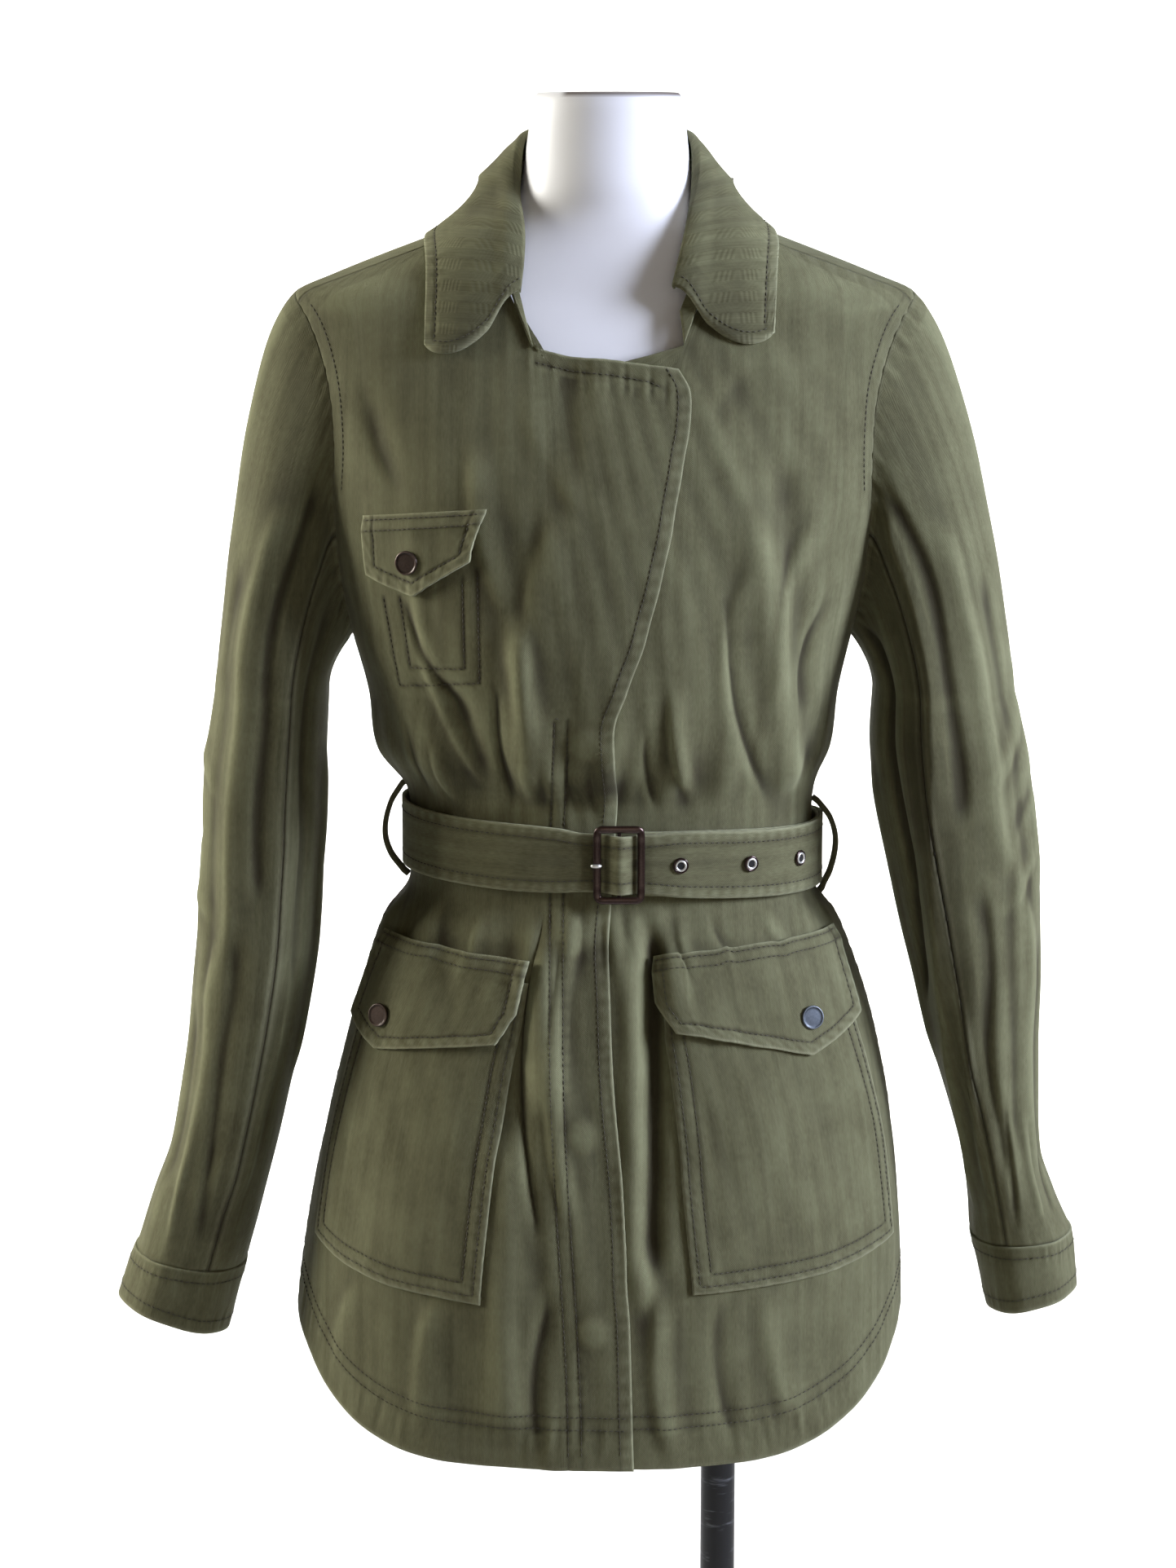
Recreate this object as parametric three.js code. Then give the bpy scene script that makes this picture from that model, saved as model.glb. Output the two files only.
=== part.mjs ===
// A belted field jacket on a limbless dress form with a pole and a round base plate.
// Millimetres, +Z up, +X to the viewer's right, front of the jacket towards -Y.
// The origin is the centre of the base plate's underside.
import * as THREE from 'three';

// Driving sizes
const WALL = 1.5;
const DOUBLE = 2.1;
const SEAM = 0.3;
const LAP = 3;
const HEM_FRONT = 536;
const HEM_SIDE = 606;
const ARMPIT = 1035;
const SHOULDER = 1243;
const NECK_TOP = 1361;
const FORM_BOTTOM = 640;
const POLE_X = 74;
const POLE_RADIUS = 11;
const PLATE_RADIUS = 170;
const PLATE_HEIGHT = 12;
const BELT_Z = 906;
const BELT_WIDTH = 41;
const BUCKLE = { x: 8.5, width: 31, height: 48, bar: 5 };
const SNAP_RADIUS = 7;
const EYELET_RADIUS = 4.3;

// Rings of the torso by height: side limits, front and back depth, squareness
const BODY = [
  { z: 500, left: -200, right: 192, front: 121, back: 116, square: 2.3 },
  { z: 560, left: -198, right: 190, front: 121, back: 116, square: 2.3 },
  { z: 610, left: -193, right: 188, front: 119, back: 115, square: 2.3 },
  { z: 675, left: -184, right: 185, front: 115, back: 113, square: 2.3 },
  { z: 740, left: -170, right: 178, front: 109, back: 106, square: 2.3 },
  { z: 804, left: -153, right: 163, front: 100, back: 95, square: 2.3 },
  { z: 856, left: -137, right: 143, front: 89, back: 80, square: 2.2 },
  { z: 878, left: -121, right: 129, front: 82, back: 71, square: 2.2 },
  { z: 906, left: -120, right: 128, front: 81, back: 70, square: 2.2 },
  { z: 940, left: -121, right: 129, front: 82, back: 71, square: 2.2 },
  { z: 965, left: -138, right: 138, front: 95, back: 83, square: 2.2 },
  { z: 1000, left: -144, right: 143, front: 106, back: 92, square: 2.2 },
  { z: 1035, left: -154, right: 151, front: 111, back: 97, square: 2.2 },
  { z: 1080, left: -166, right: 163, front: 108, back: 98, square: 2.2 },
  { z: 1120, left: -175, right: 172, front: 101, back: 97, square: 2.2 },
  { z: 1160, left: -181, right: 179, front: 90, back: 94, square: 2.2 },
  { z: 1200, left: -186, right: 185, front: 76, back: 90, square: 2.2 },
  { z: 1230, left: -188, right: 188, front: 64, back: 85, square: 2.2 },
  { z: 1242, left: -186, right: 186, front: 59, back: 82, square: 2.2 },
  { z: 1252, left: -164, right: 164, front: 56, back: 79, square: 2.2 },
  { z: 1264, left: -134, right: 134, front: 53, back: 76, square: 2.2 },
  { z: 1276, left: -102, right: 103, front: 50, back: 71, square: 2.1 },
  { z: 1288, left: -72, right: 74, front: 47.5, back: 65, square: 2.0 },
  { z: 1300, left: -55, right: 57, front: 46, back: 60, square: 2.0 },
  { z: 1312, left: -50, right: 53, front: 45, back: 56, square: 2.0 },
  { z: 1336, left: -46.5, right: 50, front: 41, back: 51, square: 2.0 },
  { z: 1361, left: -43, right: 47, front: 38, back: 47, square: 2.0 },
];

// Largest folds: a line in the front or back view, its half width and its height
const FOLDS = [
  { side: -1, x0: -90, z0: 1010, x1: -70, z1: 950, width: 9, height: -4 },
  { side: -1, x0: -52, z0: 1050, x1: -44, z1: 945, width: 8, height: 3.5 },
  { side: -1, x0: 88, z0: 1110, x1: 112, z1: 945, width: 10, height: 3.5 },
  { side: -1, x0: 105, z0: 1140, x1: 125, z1: 950, width: 9, height: -3 },
  { side: -1, x0: -42, z0: 868, x1: -34, z1: 760, width: 9, height: 4 },
  { side: -1, x0: 31, z0: 868, x1: 27, z1: 660, width: 8, height: -5 },
  { side: -1, x0: 16, z0: 868, x1: 22, z1: 640, width: 8, height: 3.5 },
  { side: -1, x0: -56, z0: 740, x1: -62, z1: 560, width: 14, height: 4 },
  { side: 1, x0: -70, z0: 1040, x1: -48, z1: 945, width: 10, height: 4 },
  { side: 1, x0: 20, z0: 1060, x1: 8, z1: 948, width: 10, height: -4 },
  { side: 1, x0: 78, z0: 1030, x1: 60, z1: 946, width: 11, height: 4 },
  { side: 1, x0: -58, z0: 866, x1: -74, z1: 640, width: 13, height: 4.5 },
  { side: 1, x0: 5, z0: 866, x1: -6, z1: 590, width: 14, height: -5 },
  { side: 1, x0: 66, z0: 866, x1: 86, z1: 650, width: 12, height: 4.5 },
];

// Curves through tables
function column(rows, key, name) {
  const at = rows.map((row) => row[key]);
  const value = rows.map((row) => row[name]);
  const slope = value.map((_, i) => {
    const low = Math.max(i - 1, 0);
    const high = Math.min(i + 1, value.length - 1);
    return (value[high] - value[low]) / (at[high] - at[low]);
  });
  const rising = at[at.length - 1] > at[0];
  return (place) => {
    const least = rising ? at[0] : at[at.length - 1];
    const most = rising ? at[at.length - 1] : at[0];
    const t = Math.min(Math.max(place, least), most);
    let i = 0;
    while (i < at.length - 2 && (rising ? t > at[i + 1] : t < at[i + 1])) i += 1;
    const step = at[i + 1] - at[i];
    const s = (t - at[i]) / step;
    const start = (2 * s ** 3 - 3 * s * s + 1) * value[i] + (s ** 3 - 2 * s * s + s) * step * slope[i];
    const end = (3 * s * s - 2 * s ** 3) * value[i + 1] + (s ** 3 - s * s) * step * slope[i + 1];
    return start + end;
  };
}

function smooth(low, high, value) {
  const t = Math.min(Math.max((value - low) / (high - low), 0), 1);
  return t * t * (3 - 2 * t);
}

function mix(a, b, t) {
  return a + (b - a) * t;
}

// Torso surface: angle 0 is the front, 90 the viewer's right, 180 the back
const ring = {
  left: column(BODY, 'z', 'left'),
  right: column(BODY, 'z', 'right'),
  front: column(BODY, 'z', 'front'),
  back: column(BODY, 'z', 'back'),
  square: column(BODY, 'z', 'square'),
};

function plainTorso(angle, z) {
  const s = Math.sin(angle * Math.PI / 180);
  const c = Math.cos(angle * Math.PI / 180);
  const power = 2 / ring.square(z);
  const middle = (ring.left(z) + ring.right(z)) / 2;
  const half = (ring.right(z) - ring.left(z)) / 2;
  const depth = c > 0 ? ring.front(z) : ring.back(z);
  return new THREE.Vector3(
    middle + half * Math.sign(s) * Math.abs(s) ** power,
    -depth * Math.sign(c) * Math.abs(c) ** power,
    z,
  );
}

function normalOf(surface, a, b, stepA, stepB) {
  const alongA = surface(a + stepA, b).sub(surface(a - stepA, b));
  const alongB = surface(a, b + stepB).sub(surface(a, b - stepB));
  return alongA.cross(alongB).normalize();
}

function foldHeight(point) {
  let height = 0;
  for (const fold of FOLDS) {
    if (Math.sign(point.y) !== fold.side) continue;
    const dx = fold.x1 - fold.x0;
    const dz = fold.z1 - fold.z0;
    const length = Math.hypot(dx, dz);
    const along = ((point.x - fold.x0) * dx + (point.z - fold.z0) * dz) / length;
    const across = ((point.x - fold.x0) * dz - (point.z - fold.z0) * dx) / length;
    const ends = smooth(-15, 20, along) * smooth(-15, 20, length - along);
    height += fold.height * ends * Math.exp(-((across / fold.width) ** 2));
  }
  const belted = 1 - smooth(22, 40, Math.abs(point.z - BELT_Z));
  return height * (1 - belted);
}

function draped(angle, z) {
  const point = plainTorso(angle, z);
  return point.addScaledVector(normalOf(plainTorso, angle, z, 1, 1), foldHeight(point));
}

function torso(angle, z, out) {
  return draped(angle, z).addScaledVector(normalOf(draped, angle, z, 1.5, 2), out);
}

function angleAt(x, z) {
  const middle = (ring.left(z) + ring.right(z)) / 2;
  const half = (ring.right(z) - ring.left(z)) / 2;
  const share = Math.min(Math.abs(x - middle) / half, 1) ** (ring.square(z) / 2);
  return Math.sign(x - middle) * Math.asin(share) * 180 / Math.PI;
}

// A line on the torso through [angle, z] places, followed by its length. A larger degree
// spreads its points more evenly round the body, a smaller one more evenly by height.
const DEGREE = 2.6;
const WIDE_DEGREE = 7;

function route(...stretches) {
  return measuredRoute(DEGREE, stretches);
}

function wideRoute(...stretches) {
  return measuredRoute(WIDE_DEGREE, stretches);
}

function measuredRoute(degree, stretches) {
  const path = new THREE.CurvePath();
  for (const places of stretches) {
    const points = places.map(([angle, z]) => new THREE.Vector3(angle * degree, z, 0));
    path.add(points.length > 2 ? new THREE.CatmullRomCurve3(points, false, 'centripetal')
      : new THREE.LineCurve3(points[0], points[1]));
  }
  return (t) => {
    const point = path.getPointAt(Math.min(Math.max(t, 0), 1));
    return [point.x / degree, point.y];
  };
}

function fromX(places) {
  return places.map(([x, z]) => [angleAt(x, z), z]);
}

// A patch between four lines: bottom and top run with u, start and end with v.
// The bend of the bottom and top lines dies out away from them with the given power.
function patch(bottom, top, start, end, power = 1) {
  return (u, v) => [0, 1].map((i) => (
    mix(start(v)[i], end(v)[i], u)
    + (1 - v) ** power * (bottom(u)[i] - mix(bottom(0)[i], bottom(1)[i], u))
    + Math.max(v, 0) ** power * (top(u)[i] - mix(top(0)[i], top(1)[i], u))));
}

// A panel's long edge: straight by height up to the belt, by its own length above it
const BELT_SHARE = 0.5;

function tiered(lower, upper) {
  return (v) => (v < BELT_SHARE ? lower(v / BELT_SHARE) : upper((v - BELT_SHARE) / (1 - BELT_SHARE)));
}

// Closed solids
function volume(position, index) {
  const [a, b, c] = [new THREE.Vector3(), new THREE.Vector3(), new THREE.Vector3()];
  let sum = 0;
  for (let i = 0; i < index.length; i += 3) {
    a.fromArray(position, index[i] * 3);
    b.fromArray(position, index[i + 1] * 3);
    c.fromArray(position, index[i + 2] * 3);
    sum += a.dot(b.cross(c));
  }
  return sum / 6;
}

function solid(position, index) {
  if (volume(position, index) < 0) index.reverse();
  const geometry = new THREE.BufferGeometry();
  geometry.setAttribute('position', new THREE.Float32BufferAttribute(position, 3));
  geometry.setIndex(index);
  geometry.computeVertexNormals();
  return geometry;
}

// Gives a surface its outward direction from its own slope, so that it can be moved out
function offset(surface, closed = false) {
  const small = 0.004;
  const inside = (t) => Math.min(Math.max(t, small), 1 - small);
  return (u, v, out) => {
    const normal = normalOf(surface, closed ? u : inside(u), inside(v), small, small);
    return surface(u, v).addScaledVector(normal, out);
  };
}

// A wall of even thickness about a middle surface; closed joins the last column to the first
function wall(columnStops, rowStops, surface, thickness, closed = false) {
  const even = (count) => Array.from({ length: count + 1 }, (_, i) => i / count);
  const uStops = Array.isArray(columnStops) ? columnStops : even(columnStops);
  const vStops = Array.isArray(rowStops) ? rowStops : even(rowStops);
  const columns = uStops.length - 1;
  const rows = vStops.length - 1;
  const position = [];
  const index = [];
  const across = closed ? columns : columns + 1;
  for (const side of [0.5, -0.5]) {
    for (let j = 0; j <= rows; j += 1) {
      for (let i = 0; i < across; i += 1) {
        surface(uStops[i], vStops[j], side * thickness).toArray(position, position.length);
      }
    }
  }
  const at = (side, i, j) => side * across * (rows + 1) + j * across + (i % across);
  const corner = (i) => new THREE.Vector3().fromArray(position, i * 3);
  const quad = (a, b, c, d) => {
    const shorter = corner(b).distanceTo(corner(d)) < corner(a).distanceTo(corner(c));
    index.push(...(shorter ? [a, b, d, b, c, d] : [a, b, c, a, c, d]));
  };
  for (let j = 0; j < rows; j += 1) {
    for (let i = 0; i < columns; i += 1) {
      quad(at(0, i, j), at(0, i + 1, j), at(0, i + 1, j + 1), at(0, i, j + 1));
      quad(at(1, i, j), at(1, i, j + 1), at(1, i + 1, j + 1), at(1, i + 1, j));
    }
  }
  for (let i = 0; i < columns; i += 1) {
    quad(at(0, i, 0), at(1, i, 0), at(1, i + 1, 0), at(0, i + 1, 0));
    quad(at(0, i, rows), at(0, i + 1, rows), at(1, i + 1, rows), at(1, i, rows));
  }
  if (!closed) {
    for (let j = 0; j < rows; j += 1) {
      quad(at(0, 0, j), at(0, 0, j + 1), at(1, 0, j + 1), at(1, 0, j));
      quad(at(0, columns, j), at(1, columns, j), at(1, columns, j + 1), at(0, columns, j + 1));
    }
  }
  return solid(position, index);
}

// A filled body of stacked rings, closed by a point at each end
function stack(around, rings) {
  const position = [];
  const index = [];
  for (const points of rings) {
    for (const point of points) point.toArray(position, position.length);
  }
  for (const points of [rings[0], rings[rings.length - 1]]) {
    const centre = new THREE.Vector3();
    for (const point of points) centre.addScaledVector(point, 1 / around);
    centre.toArray(position, position.length);
  }
  const last = (rings.length - 1) * around;
  const cap = rings.length * around;
  for (let i = 0; i < around; i += 1) {
    const next = (i + 1) % around;
    for (let j = 0; j < rings.length - 1; j += 1) {
      const low = j * around;
      const high = low + around;
      index.push(low + i, low + next, high + next, low + i, high + next, high + i);
    }
    index.push(cap, next, i, cap + 1, last + i, last + next);
  }
  return solid(position, index);
}

const jacket = new THREE.Group();

function add(name, geometry, material) {
  const mesh = new THREE.Mesh(geometry, material);
  mesh.name = name;
  jacket.add(mesh);
  return mesh;
}

function cloth() {
  return new THREE.MeshStandardMaterial({ color: '#5d5d45', roughness: 0.9 });
}

function darkMetal() {
  return new THREE.MeshStandardMaterial({ color: '#3a2a24', roughness: 0.35, metalness: 0.8 });
}

// Seam lines of the body panels
const HALF_GAP = 0.12;

// Armhole edge by height: degrees from the side seam towards the front and the back
const ARMHOLE = [
  { z: 1035, front: 0, back: 0 },
  { z: 1040, front: 5, back: 6 },
  { z: 1060, front: 12, back: 15 },
  { z: 1090, front: 18.5, back: 22 },
  { z: 1124, front: 24, back: 26.5 },
  { z: 1155, front: 27.5, back: 28 },
  { z: 1190, front: 28, back: 27 },
  { z: 1218, front: 23.5, back: 22 },
  { z: 1234, front: 16, back: 15 },
  { z: 1240, front: 9, back: 9 },
  { z: 1243, front: 0, back: 0 },
];
const armholeFront = column(ARMHOLE, 'z', 'front');
const armholeBack = column(ARMHOLE, 'z', 'back');
const SEAM_END = { z: 1236, front: 14 };

const FRONT_EDGE = [
  [18, HEM_FRONT], [15, 632], [12, 710], [7, 764], [4, 812], [4, 882], [7, 932], [5, 971],
  [6, 995], [12, 1013], [23, 1042], [35, 1089], [43, 1131], [49, 1164], [50, 1185], [43, 1199],
];
const UNDER_EDGE = [
  [-24, HEM_FRONT], [-24, 700], [-27, 800], [-26, 900], [-26, 1000], [-20, 1060], [-8, 1130],
  [2, 1180], [6, 1203],
];
const SHOULDER_GAP = 0.5;
const NECK_SIDE = 60;
const NECK_LEFT = [[-61, 1289], [-60, 1272], [-57, 1252], [-50, 1230], [-42, 1212]];
const NECK_RIGHT = [[46, 1213], [53, 1231], [59, 1252], [62, 1273], [63, 1289]];
const SHOULDER_SEAM = { left: [[-68, 1252], [-62, 1266]], right: [[68, 1252], [62, 1267]] };

function hemAt(angle) {
  const turn = Math.abs(Math.sin(angle * Math.PI / 180));
  return mix(HEM_FRONT, HEM_SIDE, turn ** 4.5);
}

function hem(from, to) {
  return (t) => [mix(from, to, t), hemAt(mix(from, to, t))];
}

// Side seam and armhole of one panel edge, from the hem to the end of the shoulder seam
function outerEdge(turn, facing, table, from) {
  const angle = (off) => from + turn * (90 - facing * off);
  const gap = HALF_GAP;
  const heights = [1040, 1060, 1090, 1124, 1155, 1190, 1218];
  const edge = heights.map((z) => [angle(table(z) + gap), z]);
  const seam = facing > 0 ? SEAM_END.front + gap : SEAM_END.front - SHOULDER_GAP;
  const end = facing > 0 ? [] : [[angle(9), 1240], [angle(0), SHOULDER], [angle(-9), 1240]];
  const last = from + turn * (90 - seam);
  return tiered(
    (t) => [angle(gap), mix(HEM_SIDE, BELT_Z, t)],
    route(
      [[angle(gap), BELT_Z], [angle(gap), ARMPIT]],
      [[angle(gap), ARMPIT], ...edge, ...end, [last, SEAM_END.z]],
    ),
  );
}

// Layers on the torso: how far out the outer face of each front lies
const underEdge = column(UNDER_EDGE.map(([x, z]) => ({ x, z })), 'z', 'x');

function lap(angle, z) {
  const edge = underEdge(z);
  return smooth(edge - 30, edge - 4, plainTorso(angle, z).x);
}

const outside = {
  left: (angle, z) => WALL + LAP * lap(angle, z),
  right: () => WALL,
};

function onTorso(place, height) {
  return (u, v, out) => {
    const [angle, z] = place(u, v);
    return torso(angle, z, height(angle, z) + out);
  };
}

const BACK_POWER = 10;
const FRONT_POWER = 6;
const LOW_ROWS = [0, 0.2, 0.4, 0.6, 0.75, 0.85, 0.92];
const HIGH_ROWS = [0, 0.085, 0.14, 0.2, 0.29, 0.39, 0.49, 0.59, 0.69, 0.78, 0.86, 0.92, 0.96, 1];
const PANEL_ROWS = [
  ...LOW_ROWS.map((t) => t * BELT_SHARE),
  ...HIGH_ROWS.map((t) => mix(BELT_SHARE, 1, t)),
];

function frontEdge(places) {
  const xAt = column(places.map(([x, z]) => ({ x, z })), 'z', 'x');
  const above = places.filter(([, z]) => z > BELT_Z + 10);
  return tiered(
    (t) => {
      const z = mix(HEM_FRONT, BELT_Z, t);
      return [angleAt(xAt(z), z), z];
    },
    route(fromX([[xAt(BELT_Z), BELT_Z], ...above])),
  );
}

// Back, and the two fronts that lap over at the viewer's right of the middle
function bodyPanels() {
  const seam = (side) => SHOULDER_SEAM[side];
  const turned = (places) => places.map(([angle, z]) => [360 + angle, z]);
  const back = patch(
    hem(90 + HALF_GAP, 270 - HALF_GAP),
    wideRoute(
      [[76 + SHOULDER_GAP, SEAM_END.z], ...shifted(seam('right'), SHOULDER_GAP)],
      [...shifted(seam('right').slice(-1), SHOULDER_GAP), [NECK_SIDE, 1289]],
      [[NECK_SIDE, 1289], [90, 1295], [135, 1293], [180, 1292], [225, 1293], [270, 1295],
        [360 - NECK_SIDE, 1289]],
      [[360 - NECK_SIDE, 1289], ...shifted(turned(seam('left').slice(-1)), -SHOULDER_GAP)],
      [...shifted(turned(seam('left').slice().reverse()), -SHOULDER_GAP),
        [284 - SHOULDER_GAP, SEAM_END.z]],
    ),
    outerEdge(1, -1, armholeBack, 0),
    outerEdge(-1, -1, armholeBack, 360),
    BACK_POWER,
  );
  add('back', wall(26, PANEL_ROWS, onTorso(back, () => WALL / 2), WALL), cloth());

  const top = patch(
    hem(-90 + HALF_GAP, angleAt(FRONT_EDGE[0][0], HEM_FRONT)),
    wideRoute(
      [[-76, SEAM_END.z], ...seam('left')],
      [...seam('left').slice(-1), [-NECK_SIDE, 1286]],
      [[-NECK_SIDE, 1286], ...fromX(NECK_LEFT.slice(1))],
      fromX([NECK_LEFT[NECK_LEFT.length - 1], [-20, 1207], [6, 1204], [28, 1201], [43, 1199]]),
    ),
    outerEdge(-1, 1, armholeFront, 0),
    frontEdge(FRONT_EDGE),
    FRONT_POWER,
  );
  const topOut = (angle, z) => outside.left(angle, z) - WALL / 2;
  add('front_right', wall(18, PANEL_ROWS, onTorso(top, topOut), WALL), cloth());

  const under = patch(
    hem(angleAt(UNDER_EDGE[0][0], HEM_FRONT), 90 - HALF_GAP),
    wideRoute(
      fromX([[6, 1203], [28, 1208], [46, 1213]]),
      [...fromX(NECK_RIGHT.slice(0, -1)), [NECK_SIDE, 1286]],
      [[NECK_SIDE, 1286], ...seam('right').slice(-1)],
      [...seam('right').slice().reverse(), [76, SEAM_END.z]],
    ),
    frontEdge(UNDER_EDGE),
    outerEdge(1, 1, armholeFront, 0),
    FRONT_POWER,
  );
  add('front_left', wall(17, PANEL_ROWS, onTorso(under, () => WALL / 2), WALL), cloth());
}

function shifted(places, degrees) {
  return places.map(([angle, z]) => [angle + degrees, z]);
}

// Sleeves: inner and outer side, depth, and how much higher the outer end of the ring is
const SLEEVE = {
  left: [
    { z: 1000, inner: -171, outer: -239, depth: 61, rise: 0 },
    { z: 960, inner: -173, outer: -245, depth: 60, rise: 0 },
    { z: 898, inner: -176, outer: -250, depth: 57, rise: 0 },
    { z: 835, inner: -181, outer: -255, depth: 54, rise: 0 },
    { z: 772, inner: -193, outer: -262, depth: 50, rise: 0 },
    { z: 708, inner: -209, outer: -274, depth: 46, rise: 4 },
    { z: 675, inner: -218, outer: -285, depth: 44, rise: 8 },
    { z: 637, inner: -229, outer: -297, depth: 42, rise: 11 },
  ],
  right: [
    { z: 1000, inner: 167, outer: 252, depth: 61, rise: 0 },
    { z: 960, inner: 166, outer: 262, depth: 60, rise: 0 },
    { z: 898, inner: 177, outer: 270, depth: 57, rise: 0 },
    { z: 835, inner: 192, outer: 273, depth: 54, rise: 0 },
    { z: 772, inner: 208, outer: 273, depth: 50, rise: 0 },
    { z: 708, inner: 228, outer: 276, depth: 46, rise: 2 },
    { z: 675, inner: 233, outer: 286, depth: 44, rise: 4 },
    { z: 652, inner: 235, outer: 296, depth: 42, rise: 5 },
  ],
};
const CUFF = {
  left: [
    { z: 637, inner: -228.5, outer: -297.5, depth: 42.5, rise: 11 },
    { z: 599, inner: -240, outer: -308, depth: 41, rise: 22 },
  ],
  right: [
    { z: 652, inner: 234.5, outer: 296.5, depth: 42.5, rise: 5 },
    { z: 610, inner: 245, outer: 300, depth: 41, rise: 14 },
  ],
};
const SLEEVE_SQUARE = 2.2;
const CAP_SHARE = 0.36;
const UNDER_SLEEVE = { front: 112, back: 245, gap: 0.35 };

// Turn 0 is the outer side of the arm, 90 its front, 180 the side next to the body
function sleeveRing(rows) {
  const inner = column(rows, 'z', 'inner');
  const outer = column(rows, 'z', 'outer');
  const depth = column(rows, 'z', 'depth');
  const rise = column(rows, 'z', 'rise');
  return (turn, z) => {
    const c = Math.cos(turn * Math.PI / 180);
    const s = Math.sin(turn * Math.PI / 180);
    const power = 2 / SLEEVE_SQUARE;
    const outwards = Math.sign(c) * Math.abs(c) ** power;
    return new THREE.Vector3(
      (inner(z) + outer(z)) / 2 + (outer(z) - inner(z)) / 2 * outwards,
      -depth(z) * Math.sign(s) * Math.abs(s) ** power,
      z + rise(z) / 2 * outwards,
    );
  };
}

function armholeRing(side, turn) {
  const middle = (ARMPIT + SHOULDER) / 2;
  const z = middle + (SHOULDER - ARMPIT) / 2 * Math.cos(turn * Math.PI / 180);
  const front = Math.sin(turn * Math.PI / 180) >= 0;
  const angle = front ? 90 - armholeFront(z) : 90 + armholeBack(z);
  return torso(side * angle, z, WALL * 1.5 + 4 * SEAM);
}

function sleeveSurface(side, rows) {
  const around = sleeveRing(rows);
  const start = rows[0].z;
  const end = rows[rows.length - 1].z;
  return (turn, v) => {
    if (v >= CAP_SHARE) return around(turn, mix(start, end, (v - CAP_SHARE) / (1 - CAP_SHARE)));
    const from = armholeRing(side, turn);
    const to = around(turn, start);
    const length = from.distanceTo(to);
    const leave = new THREE.Vector3(side * 0.78, 0, -0.62).multiplyScalar(length * 0.45);
    const arrive = new THREE.Vector3(side * 0.08, 0, -1).multiplyScalar(length);
    const t = Math.max(v, 0) / CAP_SHARE;
    return new THREE.Vector3()
      .addScaledVector(from, 2 * t ** 3 - 3 * t * t + 1)
      .addScaledVector(leave, t ** 3 - 2 * t * t + t)
      .addScaledVector(to, 3 * t * t - 2 * t ** 3)
      .addScaledVector(arrive, t ** 3 - t * t);
  };
}

function sleeves() {
  for (const [name, side] of [['left', -1], ['right', 1]]) {
    const surface = sleeveSurface(side, SLEEVE[name]);
    const { front, back, gap } = UNDER_SLEEVE;
    const upper = (u, v) => surface(mix(back - 360 + gap, front - gap, u), v);
    const under = (u, v) => surface(mix(front + gap, back - gap, u), v);
    add(`sleeve_upper_${name}`, wall(15, 17, offset(upper), WALL), cloth());
    add(`sleeve_under_${name}`, wall(8, 17, offset(under), WALL), cloth());
    const rows = CUFF[name];
    const band = sleeveRing(rows);
    const top = rows[0].z;
    const bottom = rows[1].z;
    const cuff = (u, v) => band(u * 360, mix(top - SEAM, bottom, v));
    add(`cuff_${name}`, wall(24, 2, offset(cuff, true), DOUBLE, true), cloth());
  }
}

// Collar: a stand from the neckline to the roll, and a leaf that turns over it
const ROLL_LEFT = [[-49, 1237], [-50, 1262], [-52, 1284], [-51, 1300]];
const ROLL_RIGHT = [[52, 1300], [53, 1284], [50, 1262], [43, 1239]];
const LEAF_LEFT = [[-106, 1213], [-107, 1240], [-104, 1262]];
const LEAF_RIGHT = [[102, 1266], [102, 1246], [99, 1220]];
const STAND_OUT = 3.4;
const STAND_TOP = 2;
const STAND_SHARE = 0.74;
const LEAF_START = 7;
const ROLL_OUT = 8;
const LEAF_OUT = 4;
const ROLL_SHARE = 1 / 3;

function collar() {
  const turned = (places) => places.map(([angle, z]) => [angle - 360, z]);
  const base = route(
    [...fromX(NECK_LEFT.slice().reverse().slice(0, -1)), [-NECK_SIDE, 1289], [-90, 1297],
      [-135, 1296], [-180, 1295], [-225, 1296], [-270, 1297], [NECK_SIDE - 360, 1289],
      ...turned(fromX(NECK_RIGHT.slice().reverse().slice(1)))],
  );
  const roll = route(
    [...fromX(ROLL_LEFT), [-82, 1320], [-110, 1330], [-145, 1333], [-180, 1334], [-215, 1333],
      [-250, 1330], [-278, 1320], ...turned(fromX(ROLL_RIGHT))],
  );
  const edge = route(
    [...fromX(LEAF_LEFT), [-88, 1276], [-115, 1280], [-145, 1273], [-180, 1268], [-215, 1273],
      [-245, 1280], [-272, 1278], ...turned(fromX(LEAF_RIGHT))],
  );
  const between = (from, to, v) => [0, 1].map((i) => mix(from[i], to[i], v));
  const stand = (u, v, out) => (
    torso(...between(base(u), roll(u), v * STAND_SHARE), mix(STAND_OUT, STAND_TOP, v) + out));
  add('collar_stand', wall(30, 3, stand, DOUBLE), cloth());

  const leaf = (u, v) => {
    const bend = Math.min(v / ROLL_SHARE, 1) * Math.PI;
    const fall = Math.max(v - ROLL_SHARE, 0) / (1 - ROLL_SHARE);
    const width = plainTorso(...base(u)).distanceTo(plainTorso(...roll(u)));
    const above = between(base(u), roll(u), 1 + (LEAF_START + 2 * Math.sin(bend)) / width);
    const rolled = mix(STAND_TOP, ROLL_OUT, (1 - Math.cos(bend)) / 2);
    const round = Math.sin(Math.PI * Math.min(Math.max(u, 0), 1));
    const belly = mix(4, 11, round ** 0.7) * Math.sin(Math.PI * fall);
    const point = torso(...between(above, edge(u), fall), mix(rolled, LEAF_OUT, fall) + belly);
    point.z -= 11 * (1 - round ** 0.35) * Math.sin(Math.PI * fall) * smooth(0, 0.4, fall);
    return point;
  };
  add('collar_leaf', wall(30, 9, offset(leaf), DOUBLE), cloth());
}

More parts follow.
